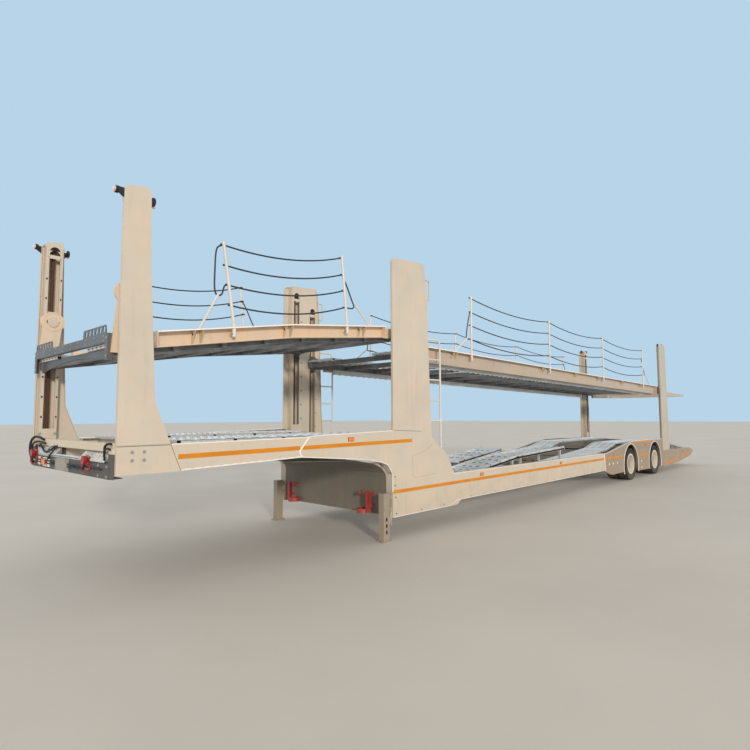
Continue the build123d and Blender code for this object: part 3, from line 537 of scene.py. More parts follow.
@dataclass(frozen=True)
class RustySteel(Finish):
    """Greased and rusty turned steel."""

    def nodes(self, links: Links) -> Sockets:
        """The rust mixed over the dark steel.

        Args:
            links: The material's tree.

        Returns:
            The shader's inputs.
        """
        masks = self.weather(links, 90.0)
        rust = links.ramp(masks["Grain"], 0.4, 0.62)
        brown = links.mix(masks["Tone"], tone(122, 74, 46), tone(88, 56, 40))
        return {"Base Color": links.mix(rust, self.colour, brown),
                "Roughness": links.ramp(rust, 0.0, 1.0, (self.rough, 0.85)),
                "Metallic": links.ramp(rust, 0.0, 1.0, (0.8, 0.1)),
                "Normal": links.bump(rust, 0.0012, 0.6)}


@dataclass(frozen=True)
class Rubber(Finish):
    """Rubber with road dust in its grain."""

    dusted: float = 0.35

    def nodes(self, links: Links) -> Sockets:
        """The dust on the rubber where its patches are.

        Args:
            links: The material's tree.

        Returns:
            The shader's inputs.
        """
        masks = self.weather(links, 160.0)
        share = links.maths("MULTIPLY", masks["Dust"], self.dusted)
        cloudy = links.mix(masks["Tone"], self.colour, shaded(self.colour, 1.7))
        return {"Base Color": links.mix(share, cloudy, self.dust),
                "Roughness": links.ramp(masks["Grain"], 0.2, 0.8,
                                        (self.rough - 0.05, self.rough + 0.1)),
                "Normal": links.bump(masks["Grain"], 0.0008, 0.5)}


@dataclass(frozen=True)
class Rope(Finish):
    """A sheathed steel rope, with the lay of its strands showing through."""

    def nodes(self, links: Links) -> Sockets:
        """The strands as slanted bands.

        Args:
            links: The material's tree.

        Returns:
            The shader's inputs.
        """
        bands = links.node("ShaderNodeTexWave",
                           {"Vector": links.place, "Scale": 28.0, "Distortion": 0.6},
                           bands_direction="DIAGONAL").outputs["Fac"]
        lit = links.mix(bands, self.colour, shaded(self.colour, 1.7))
        dusty = links.maths("MULTIPLY", self.weather(links)["Tone"], 0.06)
        return {"Base Color": links.mix(dusty, lit, self.dust), "Roughness": self.rough,
                "Normal": links.bump(bands, 0.001, 0.8)}


@dataclass(frozen=True)
class Lens(Finish):
    """Moulded lamp plastic with fine ribs."""

    def nodes(self, links: Links) -> Sockets:
        """The ribs of the lens, with some light let into it.

        Args:
            links: The material's tree.

        Returns:
            The shader's inputs.
        """
        ribs = links.node("ShaderNodeTexWave", {"Vector": links.place, "Scale": 42.0},
                          bands_direction="X").outputs["Fac"]
        inner = tuple(min(1.0, c * 1.6 + 0.02) for c in self.colour)
        return {"Base Color": links.mix(ribs, self.colour, inner), "Roughness": self.rough,
                "Coat Weight": 0.7, "Subsurface Weight": 0.2,
                "Subsurface Radius": (0.02, 0.006, 0.002),
                "Normal": links.bump(ribs, 0.0008, 0.5)}


@dataclass(frozen=True)
class Tape(Finish):
    """Reflective tape: small cells under a clear face, faded in patches."""

    def nodes(self, links: Links) -> Sockets:
        """The cells over the tape's colour.

        Args:
            links: The material's tree.

        Returns:
            The shader's inputs.
        """
        masks = self.weather(links)
        cells = links.node("ShaderNodeTexVoronoi", {"Vector": links.place, "Scale": 160.0},
                           feature="DISTANCE_TO_EDGE").outputs["Distance"]
        edge = links.ramp(cells, 0.0, 0.08)
        lit = links.mix(edge, shaded(self.colour, 0.9), self.colour)
        faded = links.mix(links.maths("MULTIPLY", masks["Patches"], 0.4), lit,
                          shaded(self.colour, 0.62))
        dusty = links.maths("MULTIPLY", masks["Streaks"], 0.3)
        return {"Base Color": links.mix(dusty, faded, self.dust), "Roughness": self.rough,
                "Coat Weight": 0.05, "Normal": links.bump(edge, 0.0003, 0.4)}


PAINT = SheetPaint("Silver grey paint", tone(214, 205, 190), 0.40, streak=0.22)
# Painted shade: the rear posts' grey is darker than the frame paint for the shade over the
# trailer's rear; its streaks are weathering.
REAR_SHADE_GREY_PAINT = SheetPaint("Weathered grey paint with painted shade", tone(198, 190, 176), 0.46, streak=0.4)
LEG_PAINT = SheetPaint("Leg paint", tone(160, 153, 140), 0.42, streak=0.4)
RAIL = SheetPaint("Rail paint", tone(224, 224, 220), 0.35, streak=0.2, waves=0.0)
# Painted highlight: near-white for the light caught by rolled and folded edges and flange edges;
# plain white on the lamp brackets and the track ends behind the lip.
WHITE_AND_EDGE_HIGHLIGHT = SheetPaint("White paint and painted edge highlight", tone(254, 252, 248), 0.35, streak=0.05, waves=0.0)
DECK_PAINT = SheetPaint("Deck paint", tone(206, 194, 174), 0.46, streak=0.5)
FRONT_DECK = DeckSheet("Front deck sheet", tone(226, 207, 184), 0.46, streak=0.4,
                       feet=((-0.16086, 4.01361 - 0.163), (-0.10592, 3.59058 - 0.163)))
REAR_DECK = DeckSheet("Rear deck sheet", tone(197, 184, 169), 0.46, streak=0.4,
                      feet=((0.015078, 2.66757 - 0.248),))
UNDERSIDE = SheetPaint("Dull underside paint", tone(150, 144, 132), 0.6, streak=0.5, coat=0.0)
# Painted shade: the drop wall and the floor beams get a darker paint for the shade they stand in.
SHADED = SheetPaint("Frame paint darkened as painted shade", tone(122, 120, 112), 0.6, streak=0.4, coat=0.0)
BEAM = BeamPaint("Dark beam paint", tone(92, 90, 86), 0.5, streak=0.4, coat=0.05)
STEEL_GREY = SheetPaint("Grey carriage steel", tone(96, 96, 94), 0.5, streak=0.5, coat=0.05)
LIP = SheetPaint("Grey lip paint", tone(97, 98, 100), 0.46, streak=0.5, waves=0.002)
DARK = SheetPaint("Dark paint", tone(62, 64, 66), 0.5, streak=0.3, waves=0.003)
ZINC = Zinc("Galvanised steel", tone(238, 240, 241), 0.40, metal=0.55)
RUST = RustySteel("Rusty screw steel", tone(96, 84, 76), 0.45)
RED = SheetPaint("Red paint", tone(168, 22, 34), 0.35, streak=0.25, waves=0.002, coat=0.4)
RIM = RimPaint("Wheel paint", tone(244, 240, 230), 0.4, streak=0.2, waves=0.0)
SOOT = SheetPaint("Black plastic", tone(24, 23, 22), 0.7, streak=0.2, waves=0.0, coat=0.0)
FENDER = SheetPaint("Shaded fender paint", tone(164, 150, 134), 0.5, streak=0.4, coat=0.05)
TYRE = Rubber("Tyre rubber", tone(34, 33, 33), 0.78, dust_top=0.75)
ROPE = Rope("Sheathed rope", tone(30, 30, 33), 0.5)
AMBER = Lens("Amber lens", tone(232, 118, 18), 0.18)
RED_LENS = Lens("Red lens", tone(190, 20, 20), 0.18)
PALE_LENS = Lens("Pale lens", tone(206, 172, 166), 0.25)
TAPE = Tape("Orange tape", tone(226, 142, 0), 0.5)
BOLT = Zinc("Zinc bolts", tone(190, 188, 182), 0.35, scale=160.0)
HOLE = Finish("Dark opening", tone(30, 29, 28), 0.8)
HOSE = Rubber("Hose rubber", tone(28, 28, 30), 0.55, dusted=0.2)
WELD = SheetPaint("Painted weld", tone(196, 186, 170), 0.5, waves=0.0)
BLACK_STEEL = SheetPaint("Black steel", tone(40, 40, 42), 0.5, waves=0.0, coat=0.0)

SLOT_FINISH: dict[Slot, Finish] = {
    Slot.FRAME: PAINT, Slot.UNDERSIDE: UNDERSIDE, Slot.DARK: DARK, Slot.GALVANISED: ZINC,
    Slot.SCREW: RUST, Slot.RED: RED, Slot.WHEEL: RIM, Slot.TYRE: TYRE, Slot.ROPE: ROPE,
    Slot.AMBER: AMBER, Slot.RED_LENS: RED_LENS,
}
NODE_FINISH: dict[str, Finish] = {
    "front_deck_frame": FRONT_DECK, "rear_deck_frame": REAR_DECK, "front_deck_lip": LIP,
    "front_beam": BEAM, "drop_wall": SHADED, "floor_beams": SHADED, "landing_legs": LEG_PAINT,
    "ladders": RAIL, "front_deck_rails": RAIL, "rear_deck_rails": RAIL, "fenders": FENDER,
    "tail": FENDER, "mudguards": SOOT, "rear_posts": REAR_SHADE_GREY_PAINT,
    "front_deck_mid_carriages": STEEL_GREY, "rear_deck_mid_carriages": STEEL_GREY,
    "rear_deck_end_carriages": STEEL_GREY,
}


# Meshes


class Shape:
    """Closed bodies gathered into one mesh."""

    def __init__(self, home: float = MID_POST_FRONT, paired: bool = False) -> None:
        """Start empty.

        Args:
            home: The X of station 0. A small part that is copied has it at 0.
            paired: Whether its mirror image on the other side of the trailer is made too.
        """
        self.home = home
        self.sides = SIDES if paired else SIDES[:1]
        self.points: list[Vector] = []
        self.faces: list[tuple[int, ...]] = []

    def loft(self, rings: Sequence[Sequence[Sequence[float]]], closed: bool = False) -> None:
        """Join rings of equally many points.

        Args:
            rings: The rings in order.
            closed: Whether the last ring joins the first. Otherwise both ends are closed.
        """
        first, size = len(self.points), len(rings[0])
        self.points += [Vector(p) for ring in rings for p in ring]
        for number in range(len(rings) if closed else len(rings) - 1):
            here, there = first + number * size, first + (number + 1) % len(rings) * size
            self.faces += [(here + i, here + (i + 1) % size, there + (i + 1) % size, there + i)
                           for i in range(size)]
        if not closed:
            last = first + (len(rings) - 1) * size
            self.faces += [tuple(first + i for i in reversed(range(size))),
                           tuple(last + i for i in range(size))]

    def box(self, x: tuple[float, float], y: tuple[float, float], z: tuple[float, float]) -> None:
        """A box between the two values of each axis."""
        self.loft([[(x[0], y[0], h), (x[1], y[0], h), (x[1], y[1], h), (x[0], y[1], h)]
                   for h in z])

    def prism(self, outline: Line, y0: float, y1: float) -> None:
        """An outline in X and Z, given depth from y0 to y1."""
        self.loft([[(x, y, z) for x, z in outline] for y in (y0, y1)])

    def turned(self, profile: Line, at: Point = (0.0, 0.0, 0.0), facing: Facing = Facing.UP,
               sides: int = 16) -> None:
        """A profile of (radius, height) turned about an axis, from its foot to its head.

        Args:
            profile: The profile. A radius of 0 at either end closes it.
            at: Where the axis has height 0.
            facing: The way the axis points.
            sides: How many flats the turned shape has.
        """
        turn = Matrix.Translation(at) @ euler(facing.value)
        self.loft([[turn @ Vector((radius * math.cos(a), radius * math.sin(a), height))
                    for a in round_angles(sides)] for radius, height in profile])

    def tube(self, path: Sequence[Sequence[float]], radius: float, sides: int = 8) -> None:
        """A round bar along a path.

        Args:
            path: Its points.
            radius: Half its thickness.
            sides: How many flats it has.
        """
        spots = [Vector(p) for p in path]
        rings = []
        for number, spot in enumerate(spots):
            before, after = spots[max(number - 1, 0)], spots[min(number + 1, len(spots) - 1)]
            along = (after - before).normalized()
            aside = along.cross(Vector((0, 1, 0)))
            if aside.length < 0.2:
                aside = along.cross(Vector((0, 0, 1)))
            aside.normalize()
            other = along.cross(aside)
            rings.append([spot + radius * (math.cos(a) * aside + math.sin(a) * other)
                          for a in round_angles(sides)])
        self.loft(rings)

    def mesh(self, name: str, smooth: float | None = None,
             finish: "Finish | None" = None) -> bpy.types.Mesh:
        """The bodies as a mesh whose faces point outwards.

        Args:
            name: The mesh's name.
            smooth: The angle in degrees under which edges are smoothed, or None for flat faces.
            finish: Its finish, where it is to be joined with meshes of other finishes.

        Returns:
            The mesh.
        """
        made = bpy.data.meshes.new(name)
        made.from_pydata(
            [(p.x + self.home, side * p.y, p.z) for side in self.sides for p in self.points], [],
            [tuple(number * len(self.points) + i for i in face)
             for number in range(len(self.sides)) for face in self.faces])
        work = bmesh.new()
        work.from_mesh(made)
        bmesh.ops.remove_doubles(work, verts=work.verts, dist=1e-6)
        bmesh.ops.dissolve_degenerate(work, edges=work.edges, dist=1e-7)
        bmesh.ops.recalc_face_normals(work, faces=work.faces)
        work.to_mesh(made)
        work.free()
        if smooth is not None:
            made.shade_smooth()
            made.set_sharp_from_angle(angle=math.radians(smooth))
        if finish:
            made.materials.append(finish.material())
        return made


def euler(turn: Point) -> Matrix:
    """The matrix of turns about X, Y and Z in that order."""
    return (Matrix.Rotation(turn[2], 4, "Z") @ Matrix.Rotation(turn[1], 4, "Y")
            @ Matrix.Rotation(turn[0], 4, "X"))


def smooth_path(points: Sequence[Point], steps: int) -> list[Vector]:
    """A smooth path through points.

    Args:
        points: What it passes through.
        steps: How many parts each run is cut into.

    Returns:
        The points of the path.
    """
    spots = [Vector(p) for p in points]
    padded = [2 * spots[0] - spots[1], *spots, 2 * spots[-1] - spots[-2]]
    path = [spots[0]]
    for a, b, c, d in zip(padded, padded[1:], padded[2:], padded[3:]):
        for i in range(1, steps + 1):
            t = i / steps
            path.append(0.5 * (2 * b + (c - a) * t + (2 * a - 5 * b + 4 * c - d) * t * t
                               + (3 * b - a - 3 * c + d) * t ** 3))
    return path


def joined(name: str, meshes: Sequence[bpy.types.Mesh]) -> bpy.types.Mesh:
    """Several meshes as one, each keeping its material.

    Args:
        name: The name of the result.
        meshes: What it is made from.

    Returns:
        One mesh.
    """
    result = bpy.data.meshes.new(name)
    work = bmesh.new()
    materials: list[bpy.types.Material] = []
    for mesh in meshes:
        first = len(work.faces)
        work.from_mesh(mesh)
        work.faces.ensure_lookup_table()
        own = list(mesh.materials)
        for face in work.faces[first:]:
            material = own[min(face.material_index, len(own) - 1)]
            if material not in materials:
                materials.append(material)
            face.material_index = materials.index(material)
    work.to_mesh(result)
    work.free()
    for material in materials:
        result.materials.append(material)
    return result


def piece(name: str, made: Shape | bpy.types.Mesh | list[bpy.types.Mesh], finish: Finish,
          body: str = BASE, stands_for: Sequence[str] = (),
          smooth: float | None = None, bevel: float = 0.0) -> None:
    """Make a finished piece that rides on a body.

    Args:
        name: The piece's name.
        made: Its shape, its mesh in place, or meshes to be joined.
        finish: Its finish, where its mesh has none yet.
        body: The body that it moves with.
        stands_for: The nodes that it replaces.
        smooth: The angle in degrees under which a shape's edges are smoothed.
        bevel: The width of the rounding on its edges.
    """
    if isinstance(made, Shape):
        made = made.mesh(name, smooth)
    elif isinstance(made, list):
        made = joined(name, made)
    thing = bpy.data.objects.new(name, made)
    bpy.context.scene.collection.objects.link(thing)
    if not made.materials:
        made.materials.append(finish.material())
    if bevel:
        rounding = thing.modifiers.new("Rounding", "BEVEL")
        rounding.width = bevel
        rounding.segments = 2
        rounding.limit_method = "ANGLE"
        rounding.angle_limit = math.radians(40)
        rounding.harden_normals = False
    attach(thing, body)
    if stands_for:
        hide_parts(*stands_for)
    log.info("%s: %d faces on %s", name, len(made.polygons), body)


# Fittings that Geometry Nodes set in many places


@dataclass(frozen=True)
class Place:
    """Where one copy of a fitting goes, how it is turned and how it is scaled."""

    at: Point
    turn: Facing | float = Facing.UP  # a number is a turn about Y, for what lies on a slope
    size: Point = (1.0, 1.0, 1.0)

    def euler(self) -> Point:
        """The turns about the three axes."""
        return self.turn.value if isinstance(self.turn, Facing) else (0.0, self.turn, 0.0)


def paired(places: Sequence[Place]) -> list[Place]:
    """Places on one side, and their mirror images on the other side of the trailer."""
    turns = {Facing.LEFT: Facing.RIGHT, Facing.RIGHT: Facing.LEFT}
    return [*places, *[Place((p.at[0], -p.at[1], p.at[2]), turns.get(p.turn, p.turn), p.size)
                       for p in places]]


def set_copies(links: Links, given: Sockets, points: object, turn: object,
               **more: object) -> bpy.types.NodeSocket:
    """Copies of the fitting at points, each with its own turn.

    Args:
        links: The tree.
        given: The sockets of its inputs.
        points: Where they go.
        turn: Their turns.
        more: Further inputs of the node that sets them.

    Returns:
        The copies.
    """
    fitting = links.node("GeometryNodeObjectInfo", {"Object": given["Fitting"]})
    rotation = links.node("FunctionNodeEulerToRotation", {"Euler": turn}).outputs[0]
    values = {"Points": points, "Instance": fitting.outputs["Geometry"], "Rotation": rotation}
    return links.node("GeometryNodeInstanceOnPoints", {**values, **more}).outputs[0]


def made_real(links: Links, given: Sockets, copies: object) -> Sockets:
    """The end of a tree: real copies with their material.

    Args:
        links: The tree.
        given: The sockets of its inputs.
        copies: The copies.

    Returns:
        The socket of its output.
    """
    real = links.node("GeometryNodeRealizeInstances", {"Geometry": copies}).outputs[0]
    values = {"Geometry": real, "Material": given["Finish"]}
    return {"Geometry": links.node("GeometryNodeSetMaterial", values).outputs[0]}


def at_places(links: Links, given: Sockets) -> Sockets:
    """Copies at the points of a mesh, with each point's own turn and size.

    Args:
        links: The tree.
        given: The sockets of its inputs.

    Returns:
        The socket of its output.
    """
    spots = links.node("GeometryNodeMeshToPoints", {"Mesh": given["Places"]}).outputs[0]
    turn, size = (links.node("GeometryNodeInputNamedAttribute", {"Name": name},
                             data_type="FLOAT_VECTOR").outputs["Attribute"]
                  for name in ("turn", "size"))
    return made_real(links, given, set_copies(links, given, spots, turn, Scale=size))


def round_a_ring(links: Links, given: Sockets) -> Sockets:
    """Copies round a circle, each turned with its place on the circle.

    Args:
        links: The tree.
        given: The sockets of its inputs.

    Returns:
        The socket of its output.
    """
    values = {"Vertices": given["Count"], "Radius": given["Radius"]}
    circle = links.node("GeometryNodeMeshCircle", values).outputs[0]
    number = links.node("GeometryNodeInputIndex").outputs[0]
    angle = links.maths("MULTIPLY", links.maths("DIVIDE", number, given["Count"]), math.tau)
    spin = links.node("ShaderNodeCombineXYZ", {"Z": angle}).outputs[0]
    copies = set_copies(links, given, circle, spin)
    values = {"Geometry": copies, "Translation": given["Centre"], "Rotation": given["Turn"]}
    return made_real(links, given, links.node("GeometryNodeTransform", values).outputs[0])


@dataclass(frozen=True)
class Fitting:
    """One small part that is set in many places. Its +Z axis points out of what carries it."""

    name: str
    shape: Shape
    finish: Finish
    smooth: float | None = 35.0

    def scattered(self, places: Sequence[Place]) -> bpy.types.Mesh:
        """Copies at chosen places.

        Args:
            places: The places.

        Returns:
            The copies as one mesh.
        """
        cloud = bpy.data.meshes.new("places")
        cloud.from_pydata([(p.at[0] + MID_POST_FRONT, *p.at[1:]) for p in places], [], [])
        rows = {"turn": [p.euler() for p in places], "size": [p.size for p in places]}
        for label, values in rows.items():
            layer = cloud.attributes.new(label, "FLOAT_VECTOR", "POINT")
            layer.data.foreach_set("vector", [v for row in values for v in row])
        return self.solved("Set at places", {"Places": "Geometry"}, at_places, {}, cloud)

    def in_ring(self, count: int, radius: float, centre: Point) -> bpy.types.Mesh:
        """Copies round a circle whose axis lies across the trailer.

        Args:
            count: How many.
            radius: The circle's radius.
            centre: Its centre.

        Returns:
            The copies as one mesh.
        """
        values = {"Count": count, "Radius": radius, "Turn": (math.pi / 2, 0.0, 0.0),
                  "Centre": (centre[0] + MID_POST_FRONT, *centre[1:])}
        inputs = {"Count": "Int", "Radius": "Float", "Centre": "Vector", "Turn": "Vector"}
        return self.solved("Set in a ring", inputs, round_a_ring, values)

    def solved(self, name: str, inputs: dict[str, str], fill: Callable[[Links, Sockets], Sockets],
               values: dict[str, object], start: bpy.types.Mesh | None = None) -> bpy.types.Mesh:
        """Run a tree once on this part and keep its result as a plain mesh.

        Args:
            name: The tree's name.
            inputs: The kinds of the tree's own inputs.
            fill: What builds the tree's nodes.
            values: The values of the inputs by name.
            start: The mesh that the tree starts from, where it takes one.

        Returns:
            The mesh that it makes.
        """
        array = tree("GeometryNodeTree", name,
                     {**inputs, "Fitting": "Object", "Finish": "Material"},
                     {"Geometry": "Geometry"}, fill)
        pattern = bpy.data.objects.new("pattern", self.shape.mesh(self.name, self.smooth))
        carrier = bpy.data.objects.new("carrier", start or bpy.data.meshes.new("carrier"))
        for thing in (pattern, carrier):
            bpy.context.scene.collection.objects.link(thing)
        modifier = carrier.modifiers.new("Array", "NODES")
        modifier.node_group = array
        values = {**values, "Fitting": pattern, "Finish": self.finish.material()}
        for item in array.interface.items_tree:
            if item.item_type == "SOCKET" and item.in_out == "INPUT" and item.name in values:
                modifier[item.identifier] = values[item.name]
        carrier.update_tag()
        bpy.context.view_layer.update()
        graph = bpy.context.evaluated_depsgraph_get()
        made = bpy.data.meshes.new_from_object(carrier.evaluated_get(graph))
        carrier.modifiers.remove(modifier)
        for thing in (pattern, carrier):
            bpy.data.objects.remove(thing)
        return made


def hexagon_bolt(radius: float, height: float) -> Shape:
    """A hexagon head on its washer.

    Args:
        radius: The head's radius across its corners.
        height: The head's height.

    Returns:
        The shape, standing on its washer.
    """
    shape = Shape(0.0)
    washer = radius * 1.45
    shape.turned([(0, 0), (washer, 0), (washer, 0.0025), (0, 0.0025)], sides=14)
    shape.turned([(0, 0.002), (radius, 0.002), (radius, height * 0.85), (radius * 0.8, height),
                  (0, height)], sides=6)
    return shape


def disc(radius: float, foot: float = 0.0, head: float = 0.0012) -> Shape:
    """A thin round plate.

    Args:
        radius: Its radius.
        foot: The height of its underside.
        head: The height of its face.

    Returns:
        The shape.
    """
    shape = Shape(0.0)
    shape.turned([(0, foot), (radius, foot), (radius, head), (0, head)], sides=14)
    return shape


BOLT_HEAD = Fitting("bolt", hexagon_bolt(0.011, 0.010), BOLT)
DARK_HOLE = Fitting("hole", disc(0.013), HOLE)
WIDE_HOLE = Fitting("wide_hole", disc(0.021), HOLE)
PIN_HOLE = Fitting("pin_hole", disc(0.008), HOLE)


# Sub-assemblies


@dataclass
class Masts:
    """The six masts: lock holes beside the slots, bolts, seams, slot heads, pulleys and grips."""

    inner_y: float = 1.13
    fold_y: float = 1.235
    pulley_x: tuple[float, float] = (-12.47, -12.86)
    pulley_y: float = 1.19
    pulley_sink: float = 0.012
    lock_pitch: float = 0.24
    lock_rows: tuple[tuple[float, float, float], ...] = (  # station, foot, head
        (3.498, 1.70, 3.66), (3.652, 1.70, 3.66), (-0.300, 1.66, 3.76), (-0.622, 1.52, 3.50),
        (-12.716, 1.24, 3.66), (-12.564, 1.24, 3.66))
    slots: tuple[tuple[float, float, float], ...] = (  # station, foot, head
        (3.575, 1.57, 3.74), (-0.19, 1.57, 3.79), (-0.545, 1.43, 3.56), (-12.64, 1.14, 3.72))
    arch: Line = ((0.078, -0.09), (0.078, 0.0), (0.062, 0.030), (0.036, 0.052), (0.0, 0.062))
    hollow: Line = ((0.060, -0.09), (0.060, -0.004), (0.046, 0.022), (0.026, 0.038), (0.0, 0.045))
    strip_out: float = 0.066
    strip_half: float = 0.004
    bar_half: float = 0.058
    seam_runs: tuple[Line, ...] = (
        ((3.698, 1.435), (3.205, 1.435)),
        ((-0.42, 1.13), (-0.42, 0.86), (-0.47, 0.81), (-0.95, 0.84)),
        ((-0.42, 1.13), (-0.66, 1.17), (-0.93, 1.29)))
    gap_runs: tuple[Line, ...] = (
        ((3.699, 1.4275), (3.205, 1.4275)), ((3.200, 1.435), (3.090, 1.172)),
        ((-0.004, 1.500), (-0.62, 1.470)))
    seam_step: float = 0.02
    seam_radius: float = 0.0032
    gap_half: float = 0.002
    pulley: Line = ((0, -0.018), (0.045, -0.018), (0.045, -0.012), (0.034, -0.004),
                    (0.034, 0.004), (0.045, 0.012), (0.045, 0.018), (0, 0.018))
    rear_head: Line = ((-12.40, 3.86), (-12.95, 3.888))
    grip_x: tuple[float, float] = (-0.772, -0.868)
    grip_z: tuple[float, float] = (3.45, 3.75)
    grip_bend: float = 0.03
    grip_radius: float = 0.011

    def lock_holes(self) -> None:
        """Set the rows of lock holes on the inner faces."""
        places = [Place((x, self.inner_y - PROUD / 2, low + i * self.lock_pitch),
                        Facing.RIGHT, (1.55, 1.55, 1.0))
                  for x, low, high in self.lock_rows
                  for i in range(int((high - low) / self.lock_pitch))]
        piece("mast_lock_holes", PIN_HOLE.scattered(paired(places)), HOLE)

    def bolts(self) -> None:
        """Set the bolts of the outer faces and of the columns' feet."""
        places = [Place((x, PLATE_Y, z), Facing.LEFT) for x in (3.56, 3.45) for z in (1.375, 1.30)]
        places += [Place((x, self.inner_y - 0.0005, 1.50), Facing.RIGHT) for x in (3.66, 3.50)]
        piece("mast_bolts", BOLT_HEAD.scattered(paired(places)), BOLT)

    def seams(self) -> None:
        """Lay the weld beads of the masts' feet and the dark joints between plates."""
        beads, gaps = Shape(paired=True), Shape(paired=True)
        ends = [pair for run in self.seam_runs for pair in zip(run, run[1:])]
        for (x0, z0), (x1, z1) in ends:
            steps = max(2, int(math.hypot(x1 - x0, z1 - z0) / self.seam_step))
            beads.tube([(blend(x0, x1, i / steps), PLATE_Y + 0.0005, blend(z0, z1, i / steps))
                        for i in range(steps + 1)], self.seam_radius, 6)
        for (x0, z0), (x1, z1) in self.gap_runs:
            share = self.gap_half / math.hypot(x1 - x0, z1 - z0)
            aside, up = share * (z1 - z0), share * (x0 - x1)
            gaps.prism([(x0 + aside, z0 + up), (x1 + aside, z1 + up),
                        (x1 - aside, z1 - up), (x0 - aside, z0 - up)],
                       PLATE_Y - 0.001, PLATE_Y + 0.0004)
        piece("mast_weld_seams", beads, WELD, smooth=60)
        piece("mast_plate_joints", gaps, HOLE)

    def heads(self) -> None:
        """Edge the slots with strips, and frame their pointed heads round a dark opening."""
        frames, openings = Shape(paired=True), Shape(paired=True)
        outer, inner = ([*half, *[(-dx, dz) for dx, dz in reversed(half[:-1])]]
                        for half in (self.arch, self.hollow))
        deep = (self.inner_y - 0.008, self.inner_y - 0.0003)
        for x, foot, top in self.slots:
            for dx in (-self.strip_out, self.strip_out):
                frames.box(about(x + dx, self.strip_half), deep, (foot, top - 0.085))
            frames.box(about(x, self.bar_half), deep, (top - 0.105, top - 0.060))
            frames.prism([(x + dx, top + dz) for dx, dz in (*outer, *reversed(inner))], *deep)
            openings.prism([(x + dx * 0.98, top + dz) for dx, dz in inner if dz > -0.05],
                           self.inner_y - 0.0012, self.inner_y - 0.0002)
        piece("slot_head_frames", frames, PAINT, BASE)
        piece("slot_head_openings", openings, HOLE)

    def pulleys(self) -> None:
        """Set the small pulleys on the heads of the rear masts."""
        wheels = Shape(paired=True)
        for x in self.pulley_x:
            at = (x, self.pulley_y, on_line(self.rear_head, x) - self.pulley_sink)
            wheels.turned(self.pulley, at, Facing.LEFT, 24)
        piece("rear_mast_pulleys", wheels, BLACK_STEEL, smooth=40)

    def grips(self) -> None:
        """Make the hand grips on the rear edges of the mid masts."""
        (x0, x1), (low, high) = self.grip_x, self.grip_z
        bend, cut = self.grip_bend, self.grip_bend * 0.3
        path = [(x0, low), (x1 + bend, low), (x1 + cut, low + cut), (x1, low + bend),
                (x1, high - bend), (x1 + cut, high - cut), (x1 + bend, high), (x0, high)]
        shape = Shape(paired=True)
        shape.tube([(x, self.fold_y, z) for x, z in path], self.grip_radius, 10)
        piece("mast_hand_grips", shape, PAINT, BASE, smooth=60)

    def build(self) -> None:
        """Make all the masts' fittings."""
        self.lock_holes()
        self.bolts()
        self.seams()
        self.heads()
        self.pulleys()
        self.grips()


@dataclass
class LiftScrews:
    """The eight lift screws, each with its coarse thread."""

    radius: float = 0.020
    core: float = 0.0165
    pitch: float = 0.022
    y: float = 1.19
    sides: int = 10
    screws: tuple[tuple[float, float, float], ...] = (  # station, foot, head
        (3.575, 1.1803, 3.831), (-0.19, 1.0083, 3.932), (-0.545, 1.0083, 3.960),
        (-12.64, 0.6483, 3.859))

    def thread(self, shape: Shape, x: float, y: float, foot: float, head: float) -> None:
        """Wind one thread round its core.

        Args:
            shape: The shape that takes it.
            x: The screw's station.
            y: Its place across the trailer.
            foot: Its lower end.
            head: Its upper end.
        """
        core, crest = self.core, self.radius
        profile = ((0.0, core), (0.30, core), (0.42, crest), (0.88, crest), (1.0, core))
        turns = int((head - foot) / self.pitch) - 1
        rings = []
        for number in range(turns * self.sides + 1):
            a = math.tau * number / self.sides
            low = foot + number * self.pitch / self.sides
            wall = [(x + r * math.cos(a), y + r * math.sin(a), low + share * self.pitch)
                    for share, r in profile]
            rings.append([*wall, (x, y, low + self.pitch / 2)])
        shape.loft(rings)

    def build(self) -> None:
        """Make the screws in place of the plain rods."""
        shape = Shape()
        for side in SIDES:
            for x, foot, head in self.screws:
                self.thread(shape, x, side * self.y, foot, head)
        piece("lift_screw_threads", shape, RUST, BASE, ("lift_screws",), smooth=30)


@dataclass
class Stripes:
    """The orange reflective stripe along both sides of the trailer."""

    width: float = 0.047
    lines: tuple[Line, ...] = (
        ((3.12, 1.310), (1.632, 1.327)),
        ((1.598, 1.327), (-0.41, 1.345)),
        ((0.0, 0.655), (-7.62, 0.655)),
        ((-7.66, 0.655), (-8.30, 0.655), (-8.99, 0.655)),
        ((-10.12, 0.602), (-10.95, 0.602)),
        ((-9.90, 0.965), (-11.20, 0.962)),
        ((-12.42, 0.225), (-13.9, 0.300), (-15.45, 0.440)),
    )

    def build(self) -> None:
        """Lay each run a hair proud of the plate."""
        shape = Shape(paired=True)
        for line in self.lines:
            shape.prism(band(line, self.width / 2, self.width / 2), PLATE_Y, PLATE_Y + PROUD)
        piece("side_stripes", shape, TAPE)


